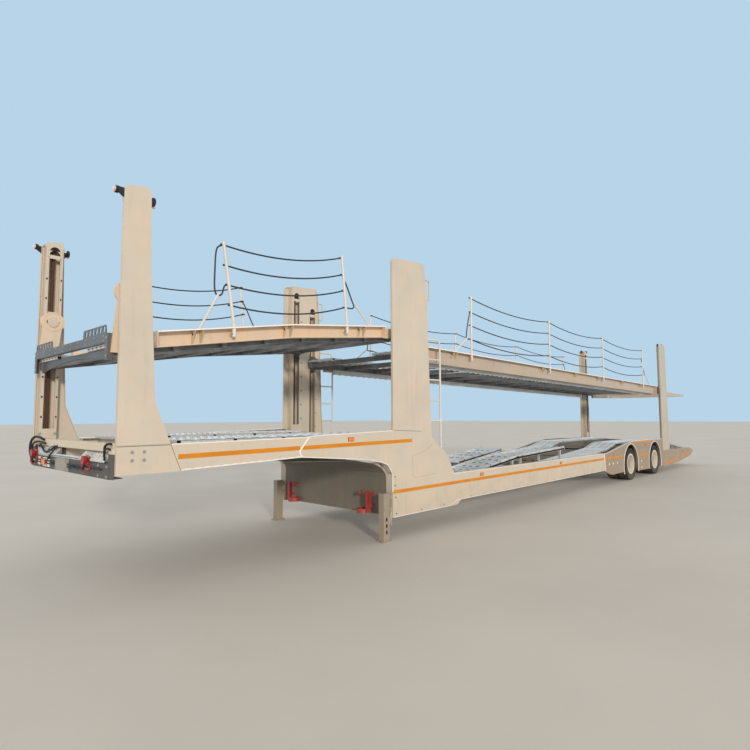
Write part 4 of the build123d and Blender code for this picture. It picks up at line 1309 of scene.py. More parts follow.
@dataclass
class GooseneckTrim:
    """The folded joint of the side panels, their edge rolls and fixings."""

    joint: Line = ((1.500, 1.446), (1.622, 1.308), (1.636, 1.287), (1.632, 1.262), (1.600, 1.222))
    foot: Line = ((3.09, 1.180), (1.61, 1.222), (0.52, 1.130), (0.23, 1.075), (0.11, 1.035),
                  (0.06, 0.970), (0.015, 0.900), (0.015, 0.660))
    rolls: tuple[Line, ...] = (
        ((3.19, 1.432), (1.56, 1.446), (1.35, 1.462), (0.01, 1.492)),
        ((0.0, 0.315), (-1.33, 0.315), (-1.50, 0.382), (-7.60, 0.382)),
        ((-1.400, 0.850), (-1.435, 0.796), (-7.600, 0.781)))
    screws: Line = ((-0.035, 0.86), (-0.035, 0.74), (-0.06, 0.36), (-0.045, 0.58),
                    (-0.62, 0.345), (-1.16, 0.355))
    joint_radius: float = 0.009
    roll_radius: float = 0.0065
    roll_sink: float = 0.004
    cross_roll: tuple[Point, Point] = ((0.004, 0.0, 0.334), (0.004, 1.12, 0.334))
    cross_radius: float = 0.007
    tab_from: float = 3.02
    tab_pitch: float = 0.105
    tabs: int = 14
    bolt_from: float = -1.9
    bolt_pitch: float = 0.38
    bolt_z: float = 0.402
    bolts: int = 16

    def build(self) -> None:
        """Make the folds and set the fixings."""
        shape = Shape(paired=True)
        shape.tube([(x, PLATE_Y, z) for x, z in self.joint], self.joint_radius)
        for line in (self.foot, *self.rolls):
            shape.tube([(x, PLATE_Y - self.roll_sink, z) for x, z in line], self.roll_radius)
        shape.tube(self.cross_roll, self.cross_radius)
        for i in range(self.tabs):
            x = self.tab_from - i * self.tab_pitch
            shape.box(about(x, 0.030), (PLATE_Y - 0.004, PLATE_Y + 0.003),
                      about(on_line(self.foot, x) + 0.006, 0.004))
        screws = [Place((x, PLATE_Y, z), Facing.LEFT, (1.3, 1.3, 1.0)) for x, z in self.screws]
        bolts = [Place((self.bolt_from - i * self.bolt_pitch, PLATE_Y, self.bolt_z), Facing.LEFT,
                       (0.7, 0.7, 1.0)) for i in range(self.bolts)]
        # The rolls and tabs take the near-white finish as a painted highlight on their edges.
        piece("gooseneck_folds", shape, WHITE_AND_EDGE_HIGHLIGHT, BASE, smooth=60)
        meshes = [BOLT_HEAD.scattered(paired(bolts)), PIN_HOLE.scattered(paired(screws))]
        piece("panel_fixings", meshes, BOLT)


@dataclass
class Tracks:
    """The perforated wheel tracks of the three decks, laid in place of the plain runways."""

    inner: float = 0.450
    outer: float = 1.078
    thick: float = 0.040
    sheet: float = 0.004
    rows: int = 4
    pitch: float = 0.157
    hole: float = 0.048
    collar: float = 0.012
    rib_pitch: float = 0.63
    rib_half: float = 0.02

    def tile(self) -> Shape:
        """A square of the sheet, of unit size across, with a collared hole in its middle.

        Returns:
            The tile.
        """
        square = []
        for number, a in enumerate(round_angles(12, 0.5)):
            x, y = math.cos(a), math.sin(a)
            if number % 3 == 1:
                square.append((math.copysign(0.5, x), math.copysign(0.5, y)))
            else:
                reach = 0.5 / max(abs(x), abs(y))
                square.append((reach * x, reach * y))
        hole = self.hole / self.pitch
        walls = ((hole * 1.22, 0.0), (hole * 1.08, self.collar), (hole, self.collar),
                 (hole, -self.sheet))
        rings = [[(radius * math.cos(a), radius * math.sin(a), height)
                  for a in round_angles(12, 0.5)] for radius, height in walls]
        shape = Shape(0.0)
        shape.loft([[(x, y, 0.0) for x, y in square], *rings,
                    [(x, y, -self.sheet) for x, y in square]], closed=True)
        return shape

    def lay(self, fitting: Fitting, line: Line) -> bpy.types.Mesh:
        """Lay the sheets of both tracks along a bent line.

        Args:
            fitting: The tile.
            line: The top of the tracks as stations and heights, from front to rear.

        Returns:
            The sheets.
        """
        places = []
        wide = (self.outer - self.inner) / self.rows
        for (x0, z0), (x1, z1) in zip(line, line[1:]):
            length = math.hypot(x1 - x0, z1 - z0)
            tilt = math.atan2(z1 - z0, x0 - x1)
            count = max(1, round(length / self.pitch))
            for share in shares(count):
                x, z = blend(x0, x1, share), blend(z0, z1, share) - self.collar
                places += [Place((x, self.inner + wide * (j + 0.5), z), tilt,
                                 (length / count, wide, 1.0)) for j in range(self.rows)]
        return fitting.scattered(paired(places))

    def edges(self, line: Line) -> Shape:
        """The turned-down edges of both tracks along a line, and the ribs that carry them.

        Args:
            line: The top of the tracks.

        Returns:
            The shape.
        """
        shape = Shape(paired=True)
        for y in (self.inner, self.outer - self.sheet):
            shape.prism(band(line, -self.collar, self.thick), y, y + self.sheet)
        (x0, _), (x1, _) = line[0], line[-1]
        count = max(2, int((x0 - x1) / self.rib_pitch))
        for i in range(count + 1):
            x = blend(x0 - self.rib_half, x1 + self.rib_half, i / count)
            z = on_line(line, x)
            shape.box(about(x, self.rib_half), (self.inner, self.outer),
                      (z - self.thick, z - self.collar - self.sheet))
        return shape

    def build(self, lines: dict[str, tuple[Line, str]]) -> None:
        """Lay the tracks of every deck.

        Args:
            lines: For each node, the line of its top and the body that it rides on.
        """
        fitting = Fitting("track_tile", self.tile(), ZINC, None)
        for node, (line, body) in lines.items():
            meshes = [self.lay(fitting, line), self.edges(line).mesh("edges", finish=ZINC)]
            piece(f"{node}_sheets", meshes, ZINC, body, (node,))


LOWER_LINE: Line = ((3.05, 1.470), (0.15, 1.470), (-1.10, 0.640), (-1.50, 0.560), (-4.0, 0.560),
                    (-8.36, 0.860), (-8.95, 0.990), (-12.30, 0.990), (-15.66, 0.560))
FRONT_EDGE: Line = ((3.335, 2.512), (1.700, 2.775), (0.095, 2.945))
REAR_EDGE: Line = ((-0.865, 2.745), (-12.140, 2.575))
DECK_SINK = 0.075


def track_line(edge: Line, front: float, rear: float) -> Line:
    """The line of an upper deck's tracks: its edge beams' line, lowered, between two stations."""
    inner = [x for x, _ in edge if rear < x < front]
    return [(x, on_line(edge, x) - DECK_SINK) for x in (front, *inner, rear)]


@dataclass
class DeckEdge:
    """One upper deck's trim: gussets, bolts and sockets on its edge beams, and the rope ends."""

    body: str
    edge: Line
    depth: float
    uprights: tuple[float, ...]
    lacing: tuple[Line, ...]
    gusset_rows: tuple[float, ...]
    gusset_depth: float = 1.0
    gusset_out: float = 0.045
    gusset_half: float = 0.003
    outer: float = 1.208
    web: float = 1.113
    sheet: float = 0.008
    socket_in: float = 0.025
    bolt_pitch: float = 0.32
    rope_y: float = 1.1567
    rope_radius: float = 0.009
    under: Line = ((0.0, -0.105), (0.021, -0.105), (0.021, -0.0085), (0.0, -0.0085))
    above: Line = ((0.0176, 0.0005), (0.030, 0.0005), (0.030, 0.006), (0.0215, 0.010),
                   (0.0215, 0.045), (0.0176, 0.045))

    def lean(self, x: float) -> float:
        """The turn about Y that follows the edge beam's slope at a station."""
        rise = on_line(self.edge, x + 0.001) - on_line(self.edge, x - 0.001)
        return -math.atan(rise / 0.002)

    def gussets(self) -> None:
        """Set triangular plates with a hole between the web and the top flange."""
        shape = Shape(paired=True)
        holes = []
        y0, y1 = self.web + self.sheet - 0.0005, self.outer - 0.004
        for x in self.gusset_rows:
            z = on_line(self.edge, x)
            top, foot = z - self.sheet, z - min(self.depth - self.sheet, self.gusset_depth)
            outline = ((y0, foot), (y0, top), (y1, top), (y1, top - 0.02), (y0 + 0.02, foot))
            for dx in about(0.0, self.gusset_out):
                shape.loft([[(x + dx + t, y, h) for y, h in outline]
                            for t in about(0.0, self.gusset_half)])
            face = x + self.gusset_out + self.gusset_half
            holes.append(Place((face, (2 * y0 + y1) / 3, (foot + 2 * top) / 3), Facing.FORWARD))
        meshes = [shape.mesh("gussets", finish=DECK_PAINT), DARK_HOLE.scattered(paired(holes))]
        piece(f"{self.body}_gussets", meshes, DECK_PAINT, self.body)

    def bolts(self) -> None:
        """Bolt the top flanges down, and pin each upright in its socket."""
        front, rear = self.edge[0][0] - 0.06, self.edge[-1][0] + 0.06
        count = int((front - rear) / self.bolt_pitch)
        rows = [blend(front, rear, i / count) for i in range(count + 1)]
        places = [Place((x, self.web + 0.03, on_line(self.edge, x)), self.lean(x)) for x in rows]
        places += [Place((x + 0.020, self.outer - self.socket_in, on_line(self.edge, x) - 0.075),
                         Facing.FORWARD, (0.8, 0.8, 3.0)) for x in self.uprights]
        piece(f"{self.body}_bolts", BOLT_HEAD.scattered(paired(places)), BOLT, self.body)

    def sockets(self) -> None:
        """Make the short tubes under the flange that hold the uprights, and their collars."""
        shape = Shape(paired=True)
        for x in self.uprights:
            at = (x, self.outer - self.socket_in, on_line(self.edge, x))
            shape.turned(self.under, at)
            turn = Matrix.Translation(at) @ euler((0.0, self.lean(x), 0.0))
            shape.loft([[turn @ Vector((r * math.cos(a), r * math.sin(a), h))
                         for r, h in self.above] for a in round_angles(16)], closed=True)
        piece(f"{self.body}_sockets", shape, RAIL, self.body, smooth=40)

    def flanges(self) -> None:
        """Line the outer edges of the top flanges with a near-white strip as a painted highlight.
        """
        shape = Shape(paired=True)
        shape.prism(band(self.edge, 0.001, 0.013), self.outer - 0.0005, self.outer + 0.0015)
        piece(f"{self.body}_flange_edges", shape, WHITE_AND_EDGE_HIGHLIGHT, self.body)

    def ropes(self) -> None:
        """Lace the ends of the ropes down to the stays and up again."""
        shape = Shape(paired=True)
        for line in self.lacing:
            path = smooth_path([(x, self.rope_y, z) for x, z in line], 8)
            shape.tube(path, self.rope_radius)
        piece(f"{self.body}_rope_ends", shape, ROPE, self.body, smooth=60)

    def build(self) -> None:
        """Make all the trim of the deck's edge."""
        self.gussets()
        self.bolts()
        self.sockets()
        self.flanges()
        self.ropes()


@dataclass
class TrackSkirt:
    """The scalloped galvanised edges that hang under the rear deck's tracks."""

    y: float = 1.052
    sheet: float = 0.005
    top: float = 0.150
    foot: float = 0.302
    scallop: float = 0.014
    pitch: float = 0.157
    steps: int = 4
    ends: tuple[float, float] = (-0.98, -12.05)

    def build(self) -> None:
        """Cut the lower edge in shallow waves and hang a skirt on each side."""
        shape = Shape(paired=True)
        front, rear = self.ends
        y0, y1 = self.y, self.y + self.sheet
        count = int((front - rear) / self.pitch) * self.steps
        rings = []
        for i in range(count + 1):
            x = blend(front, rear, i / count)
            wave = self.scallop * abs(math.sin(math.pi * i / self.steps))
            top, foot = (on_line(REAR_EDGE, x) - drop for drop in (self.top, self.foot - wave))
            rings.append([(x, y0, foot), (x, y0, top), (x, y1, top), (x, y1, foot)])
        shape.loft(rings)
        piece("rear_deck_track_skirts", shape, ZINC, "rear_deck")


@dataclass
class LipTrim:
    """The bright perforated end of the front deck's tracks behind the lip, and its fixings."""

    face: float = 3.7500
    track: tuple[float, float] = (0.452, 1.076)
    strip_x: tuple[float, float] = (3.7002, 3.7022)
    strip_z: tuple[float, float] = (2.343, 2.373)
    rivet_z: tuple[float, float] = (2.395, 2.440)
    edge_y: float = 1.067
    edge_z: tuple[float, ...] = (2.25, 2.33, 2.42)

    def build(self) -> None:
        """Make the strips and set the holes and rivets."""
        shape = Shape(paired=True)
        shape.box(self.strip_x, self.track, self.strip_z)
        holes = [Place((self.strip_x[1], blend(*self.track, share), sum(self.strip_z) / 2),
                       Facing.FORWARD, (0.8, 0.8, 1.0)) for share in shares(6)]
        rivets = [Place((self.face, 0.12 + 0.22 * i, z), Facing.FORWARD, (0.6, 0.6, 0.5))
                  for i in range(5) for z in self.rivet_z]
        rivets += [Place((self.face, self.edge_y, z), Facing.FORWARD, (0.8, 0.8, 0.5))
                   for z in self.edge_z]
        meshes = [shape.mesh("strips", finish=WHITE_AND_EDGE_HIGHLIGHT), DARK_HOLE.scattered(paired(holes)),
                  BOLT_HEAD.scattered(paired(rivets))]
        piece("front_deck_lip_trim", meshes, WHITE_AND_EDGE_HIGHLIGHT, "front_deck")


@dataclass
class Carriages:
    """Turned rings on the caps of the carriages' pins."""

    cap_y: float = 1.086
    profile: Line = (
        (0, -0.001), (0.059, -0.001), (0.059, 0.003), (0.052, 0.003), (0.049, 0.0005),
        (0.040, 0.0005), (0.037, 0.0045), (0.022, 0.0045), (0.019, 0.002), (0.015, 0.002),
        (0.013, 0.006), (0, 0.006))
    rows: tuple[tuple[str, float, float, Finish], ...] = (  # body, station, height, finish
        ("front_deck_end", 3.575, 2.850, PAINT), ("front_deck_lift", -0.190, 2.850, STEEL_GREY),
        ("rear_deck_lift", -0.545, 2.620, STEEL_GREY),
        ("rear_deck_end", -12.640, 2.490, STEEL_GREY))

    def build(self) -> None:
        """Turn the rings of both sides of each pair."""
        for body, x, z, finish in self.rows:
            shape = Shape(paired=True)
            shape.turned(self.profile, (x, self.cap_y, z), Facing.RIGHT, 36)
            piece(f"{body}_cap_rings", shape, finish, body, smooth=30)


@dataclass
class Troughs:
    """Rims, oval holes, bars and stop rollers on the raised wheel troughs of the lower deck."""

    inner: float = 0.480
    outer: float = 1.048
    rim: float = 0.018
    rim_z: tuple[float, float] = (-0.034, 0.040)
    pitch: float = 0.16
    bar_x: float = 0.074
    roller: float = 0.028
    tie_out: float = 0.030
    tie_sink: float = 0.030
    rows: tuple[tuple[int, Line], ...] = (  # side, and the top's line
        (1, ((-2.330, 0.740), (-3.820, 0.910))),
        (1, ((-3.835, 0.910), (-5.890, 0.990))),
        (-1, ((-4.100, 0.720), (-5.840, 0.900))))

    def build(self) -> None:
        """Dress each trough along its slope."""
        shape = Shape()
        ovals, bolts = [], []
        for side, line in self.rows:
            (x0, z0), (x1, z1) = line
            y0, y1, rim = side * self.inner, side * self.outer, side * self.rim
            tilt = math.atan2(z1 - z0, x0 - x1)
            low, high = self.rim_z
            for y in (y0, y1 - rim):
                shape.loft([[(x, y, z + low), (x, y + rim, z + low), (x, y + rim, z + high),
                             (x, y, z + high)] for x, z in line])
            for i, share in enumerate(shares(int(math.hypot(x1 - x0, z1 - z0) / self.pitch))):
                x, z = blend(x0, x1, share), blend(z0, z1, share)
                ovals += [Place((x, blend(y0, y1, part), z), tilt, (2.3, 3.0, 1.0))
                          for part in shares(4)]
                if i % 2 == 1:
                    shape.box(about(x + self.bar_x, 0.012), (y0, y1), about(z + 0.008, 0.018))
                if i % 4 == 0:
                    bolts += [Place((x, y, z + high), tilt) for y in (y0 + rim / 2, y1 - rim / 2)]
            for x, z in line:
                shape.tube([(x, y0, z - 0.010), (x, y1, z - 0.010)], self.roller, 12)
            tie = y0 - side * self.tie_out
            shape.tube([(x0 - 0.10, tie, z0 - self.tie_sink),
                        (x1 + 0.10, tie, z1 - self.tie_sink)], 0.013, 10)
            for share in shares(4):
                shape.box(about(blend(x0, x1, share), 0.012),
                          (tie - side * 0.004, tie + side * 0.034),
                          about(blend(z0, z1, share) - self.tie_sink, 0.012))
        meshes = [shape.mesh("bars", 40, ZINC), DARK_HOLE.scattered(ovals),
                  BOLT_HEAD.scattered(bolts)]
        piece("wheel_trough_trim", meshes, ZINC, BASE)


@dataclass
class ArchLips:
    """The folded lips round the wheel arches and along the fenders' edges, near-white as a painted
    highlight.
    """

    y: float = 1.247
    radius: float = 0.560
    centre_z: float = 0.380
    lip: float = 0.011
    bar: float = 0.006
    top: Line = ((-7.640, 0.775), (-7.850, 0.782), (-9.140, 0.960), (-9.620, 1.000),
                 (-10.780, 1.000), (-11.410, 0.985), (-12.330, 0.985))
    strap: Line = ((-7.635, 0.770), (-7.665, 0.775), (-7.690, 0.480), (-7.700, 0.372),
                   (-7.655, 0.372))
    buttons: Line = ((-7.94, 0.51), (-8.21, 0.51), (-8.49, 0.51), (-10.33, 0.44), (-10.33, 0.28))
    button: Line = ((0, 0), (0.026, 0), (0.024, 0.006), (0, 0.008))

    def build(self) -> None:
        """Bend a bar round each arch and along the top, and set the strap and the buttons."""
        shape = Shape(paired=True)
        angles = [math.radians(-20 + 5 * i) for i in range(45)]
        for _, x in AXLES:
            shape.tube([(x + self.radius * math.cos(a), self.y,
                         self.centre_z + self.radius * math.sin(a)) for a in angles], self.lip)
        shape.tube([(x, self.y, z) for x, z in self.top], self.bar)
        shape.prism(self.strap, self.y + 0.002, self.y + 0.009)
        for x, z in self.buttons:
            shape.turned(self.button, (x, self.y + 0.0025, z), Facing.LEFT)
        piece("wheel_arch_lips", shape, WHITE_AND_EDGE_HIGHLIGHT, BASE, smooth=60)


@dataclass
class TyreSet:
    """The eight tyres with their tread, and the nuts, hand holes and caps of the wheels."""

    radius: float = 0.419
    width: float = 0.248
    bead: float = 0.2405
    twin_middle: float = 0.974
    twin_pitch: float = 0.280
    sides: int = 64
    groove_rows: tuple[float, ...] = (0.62, 0.21, -0.21, -0.62)
    groove: float = 0.045
    blocks: int = 60
    block_rows: Line = ((0.825, 0.32), (0.415, 0.30), (0.0, 0.30), (-0.415, 0.30), (-0.825, 0.32))
    nuts: int = 10
    nut_circle: float = 0.14405
    nut: Line = ((0, 0), (0.020, 0), (0.020, 0.004), (0.0165, 0.006), (0.0165, 0.026),
                 (0.012, 0.030), (0.011, 0.042), (0, 0.042))
    hand_holes: int = 8
    hand_circle: float = 0.203
    outs: Point = (0.0165, 0.0295, 0.1505)  # nuts, hand holes and cap, out from the twins' middle
    cap: Line = ((0, 0), (0.060, 0), (0.060, 0.012), (0.052, 0.022), (0.0, 0.026))

    def carcass(self, centre: Point) -> Shape:
        """One tyre without its tread blocks: rounded walls with rings moulded on them.

        Args:
            centre: The tyre's centre.

        Returns:
            The shape.
        """
        half, bead, r = self.width / 2, self.bead, self.radius
        wall = [(bead, 0.70), (bead + 0.012, 0.80), (bead + 0.030, 0.92), (bead + 0.034, 0.945),
                (bead + 0.040, 0.94), (bead + 0.070, 0.985), (r - 0.095, 1.0), (r - 0.060, 0.985),
                (r - 0.056, 0.998), (r - 0.050, 0.985), (r - 0.030, 0.945), (r - 0.014, 0.86)]
        grooves = [(r - depth, y + self.groove * share) for y in self.groove_rows
                   for depth, share in ((0.003, 1.0), (0.013, 0.7), (0.013, -0.7), (0.003, -1.0))]
        profile = [*wall, *grooves, *[(q, -share) for q, share in reversed(wall)]]
        x, y, z = centre
        shape = Shape()
        shape.loft([[(x + q * math.cos(a), y + share * half, z + q * math.sin(a))
                     for q, share in profile] for a in round_angles(self.sides)], closed=True)
        return shape

    def tread_block(self, width: float, length: float, lean: float) -> Shape:
        """One block of the tread, standing out along +X.

        Args:
            width: Its width across the tyre.
            length: Its length round the tyre.
            lean: How far its ends are slanted.

        Returns:
            The block.
        """
        rings = []
        for reach, share in ((-0.010, 1.0), (-0.0015, 1.0), (0.0005, 0.90)):
            w, l = width / 2 * share, length / 2 * share
            rings.append([(reach, -l - lean, -w), (reach, l - lean, -w),
                          (reach, l + lean, w), (reach, -l + lean, w)])
        shape = Shape(0.0)
        shape.loft(rings)
        return shape

    def rubber(self, wheel: str, x: float, side: int) -> None:
        """Make both tyres of one wheel.

        Args:
            wheel: The wheel's name.
            x: Its station.
            side: 1 for the left, -1 for the right.
        """
        half, length = self.width / 2, math.tau * self.radius / self.blocks * 0.78
        meshes = []
        for shift in (self.twin_pitch / 2, -self.twin_pitch / 2):
            y = side * (self.twin_middle + shift)
            meshes.append(self.carcass((x, y, self.radius)).mesh("carcass", 30, TYRE))
            for number, (offset, share) in enumerate(self.block_rows):
                shape = self.tread_block(share * half, length, 0.004 if number % 2 else -0.004)
                drop = 0.008 if abs(offset) > 0.8 else 0.0
                meshes.append(Fitting("block", shape, TYRE, None).in_ring(
                    self.blocks, self.radius - drop, (x, y + offset * half, self.radius)))
        node = f"tyres_{wheel}"
        piece(f"{node}_treaded", meshes, TYRE, f"{wheel}_wheels", (node,))

    def metal(self, wheel: str, x: float, side: int) -> None:
        """Set the nuts and the cap on one wheel's hub and the hand holes in its outer rim.

        Args:
            wheel: The wheel's name.
            x: Its station.
            side: 1 for the left, -1 for the right.
        """
        nut, oval, cap = Shape(0.0), disc(0.024, -0.004, 0.003), Shape()
        inward, outward = (Facing.DOWN, Facing.LEFT) if side > 0 else (Facing.UP, Facing.RIGHT)
        spots = [(x, side * (self.twin_middle + out), self.radius) for out in self.outs]
        nut.turned(self.nut, facing=inward, sides=6)
        cap.turned(self.cap, spots[2], outward, 24)
        meshes = [Fitting("nut", nut, BOLT).in_ring(self.nuts, self.nut_circle, spots[0]),
                  Fitting("oval", oval, HOLE).in_ring(self.hand_holes, self.hand_circle, spots[1]),
                  cap.mesh("cap", 40, BLACK_STEEL)]
        piece(f"wheel_fixings_{wheel}", meshes, BOLT, f"{wheel}_wheels")

    def build(self) -> None:
        """Make the tyres and fixings of all four wheels."""
        for axle, x in AXLES:
            for side, hand in zip(SIDES, ("left", "right")):
                self.rubber(f"{axle}_{hand}", x, side)
                self.metal(f"{axle}_{hand}", x, side)


@dataclass
class Nose:
    """The gooseneck's front: hoses along the beam, its fixings, a step grid and spare hoses."""

    face: float = 3.712
    couplings: tuple[float, float] = (-1.04, 0.62)
    hose_runs: tuple[tuple[float, float, float, float], ...] = (  # from y, to y, height, radius
        (-1.04, 0.98, 1.215, 0.0085), (0.62, -0.98, 1.19, 0.0075))
    hose_drop: float = 0.006
    hose_steps: int = 14
    grid: Line = ((3.702, 1.272), (3.622, 1.360))
    grid_runs: Line = ((0.34, 0.98), (-0.98, -0.42))
    grid_bars: int = 9
    bars: tuple[tuple[float, Point, Point], ...] = (  # radius, ends
        (0.011, (3.716, -0.86, 1.292), (3.714, 0.36, 1.296)),
        (0.008, (3.706, -0.86, 1.270), (3.704, 0.36, 1.274)),
        (0.010, (3.700, -0.52, 1.300), (3.698, -0.52, 1.400)),
        (0.012, (3.715, -0.60, 1.345), (3.720, -0.44, 1.395)))
    spare: tuple[tuple[float, tuple[Point, ...]], ...] = (  # radius, points
        (0.011, ((3.715, 1.02, 1.36), (3.72, 1.04, 1.42), (3.72, 1.10, 1.45),
                 (3.715, 1.17, 1.452))),
        (0.010, ((3.715, 1.03, 1.30), (3.73, 1.06, 1.38), (3.73, 1.12, 1.41),
                 (3.712, 1.16, 1.40))),
        (0.014, ((3.70, -0.80, 1.440), (3.72, -0.93, 1.470), (3.74, -1.05, 1.460),
                 (3.75, -1.12, 1.40), (3.75, -1.135, 1.30), (3.73, -1.12, 1.20),
                 (3.715, -1.09, 1.15))),
        (0.011, ((3.70, -0.74, 1.400), (3.73, -0.88, 1.420), (3.75, -1.00, 1.400),
                 (3.75, -1.06, 1.340), (3.74, -1.02, 1.280))),
        (0.010, ((3.69, -0.98, 1.36), (3.72, -0.86, 1.39), (3.73, -0.74, 1.35),
                 (3.73, -0.64, 1.31), (3.72, -0.52, 1.33), (3.70, -0.40, 1.38))),
        (0.009, ((3.69, -0.36, 1.39), (3.72, -0.40, 1.33), (3.73, -0.48, 1.28),
                 (3.72, -0.56, 1.24), (3.716, -0.60, 1.20))))
    line_points: tuple[Point, ...] = (  # with y from the coupling's middle
        (3.735, -0.05, 1.245), (3.75, -0.07, 1.19), (3.75, 0.02, 1.155), (3.745, 0.10, 1.18),
        (3.73, 0.11, 1.24))

    def hoses(self) -> None:
        """Clip the two air hoses along the face of the front beam."""
        shape = Shape()
        x, drop = self.face, self.hose_drop
        for start, end, z, radius in self.hose_runs:
            way = math.copysign(1.0, end - start)
            first = start + 0.07 * way
            path = [(x + 0.03, start, 1.262), (x + 0.026, start + 0.02 * way, 1.235),
                    (x + 0.013, first, z + drop)]
            for i in range(1, self.hose_steps + 1):
                path.append((x + 0.0125, blend(first, end, i / self.hose_steps),
                             z + (drop if i % 2 else -drop) * 0.5))
            shape.tube(smooth_path(path, 3), radius)
        piece("front_air_hoses", shape, HOSE, smooth=60)

    def fixings(self) -> None:
        """Set the bolts of the beam's ends and of the coupling plates."""
        spots = [(0.008, y + dy, z) for y in self.couplings for dy in (-0.03, 0.03)
                 for z in (1.207, 1.315)]
        spots += [(0.0, side * y, z) for side in SIDES for y in (0.88, 1.08)
                  for z in (1.155, 1.245)]
        spots += [(0.022, y, z) for y in (-0.255, 0.055) for z in (1.155, 1.246)]
        places = [Place((self.face + out, y, z), Facing.FORWARD) for out, y, z in spots]
        piece("front_beam_fixings", BOLT_HEAD.scattered(places), BOLT)

    def step(self) -> None:
        """Make the slanted step grid, the grab bars and the lever in front of the tube."""
        shape = Shape()
        holes = []
        (x0, z0), (x1, z1) = self.grid
        tilt = math.pi / 2 - math.atan2(x0 - x1, z1 - z0)
        plate, bar = ([(x0 + low, z0 + low), (x0 + high, z0 + high), (x1 + high, z1 + high),
                       (x1 + low, z1 + low)] for low, high in ((0.0, 0.004), (0.002, 0.014)))
        for low, high in self.grid_runs:
            shape.prism(plate, low, high)
            for share in shares(self.grid_bars):
                shape.prism(bar, *about(blend(low, high, share), 0.005))
            holes += [Place(((x0 + x1) / 2 + 0.004, blend(low, high, i / self.grid_bars),
                             (z0 + z1) / 2 + 0.004), tilt) for i in range(1, self.grid_bars)]
        for radius, start, end in self.bars:
            shape.tube([start, end], radius, 12)
        for y in (-0.93, -0.78, -0.66):
            shape.box((3.680, self.face), about(y, 0.03), (1.267, 1.320 + 0.03 * abs(y)))
        meshes = [shape.mesh("grid", 40, ZINC), DARK_HOLE.scattered(holes)]
        piece("front_step_grid", meshes, ZINC, BASE)

    def loops(self) -> None:
        """Loop the spare hoses at the beam's ends, and hang thin red lines at the couplings."""
        shape, thin = Shape(), Shape()
        for radius, points in self.spare:
            shape.tube(smooth_path(points, 6), radius, 10)
        for middle in self.couplings:
            thin.tube(smooth_path([(x, middle + y, z) for x, y, z in self.line_points], 6), 0.005)
        piece("spare_hoses", shape, HOSE, smooth=60)
        piece("coupling_lines", thin, RED, smooth=60)

    def plates(self) -> None:
        """Set the end plates of the beam and the bracket of the marker lamp."""
        shape, light = Shape(), Shape()
        for side in SIDES:
            shape.box((3.700, 3.710), (side * 1.10, side * 1.218), (1.135, 1.410))
        for out, y, z in ((0.003, (-0.76, -0.64), (1.150, 1.246)),
                          (0.010, (-0.58, -0.53), (1.150, 1.235)),
                          (0.010, (-0.92, -0.86), (1.165, 1.250))):
            light.box((self.face - 0.001, self.face + out), y, z)
        piece("front_end_plates", shape, BEAM, BASE, bevel=0.001)
        piece("front_lamp_brackets", light, WHITE_AND_EDGE_HIGHLIGHT, BASE, bevel=0.001)

    def build(self) -> None:
        """Make the nose's fittings."""
        self.hoses()
        self.fixings()
        self.step()
        self.loops()
        self.plates()


@dataclass
class LegTrim:
    """Bolts, pin openings and diagonal braces of the landing legs."""

    x: float = 0.122
    y: float = 1.185
    along: float = 0.120
    across: float = 0.092
    root: float = 0.0155
    brace: tuple[float, float] = (0.034, 0.040)
    plate_z: float = 0.014
    bolt_z: tuple[float, float] = (0.442, 0.602)
    hole_z: Point = (0.130, 0.215, 0.300)

    def build(self) -> None:
        """Set the bolts and pin openings and make the braces."""
        outer = self.y + self.across / 2
        bolts = [Place((x, y, self.plate_z)) for x in about(self.x, 0.0805)
                 for y in about(self.y, 0.035)]
        bolts += [Place((self.x + 0.035, outer, z), Facing.LEFT) for z in self.bolt_z]
        holes = [Place((self.x, outer, z), Facing.LEFT, (0.8, 1.35, 1.0)) for z in self.hole_z]
        meshes = [WIDE_HOLE.scattered(paired(holes)), BOLT_HEAD.scattered(paired(bolts))]
        piece("leg_fixings", meshes, BOLT)
        x0, x1 = self.root, self.x - self.along / 2
        y0, y1 = (self.y + out for out in self.brace)
        shape = Shape(paired=True)
        shape.prism([(x0, 0.39), (x1, 0.20), (x1, 0.26), (x0, 0.455)], y0, y1)
        shape.prism([(x0, 0.20), (x0, 0.39), (x0 + 0.008, 0.39), (x0 + 0.008, 0.20)],
                    y0 - 0.03, y1)
        piece("leg_braces", shape, PAINT, BASE, bevel=0.001)


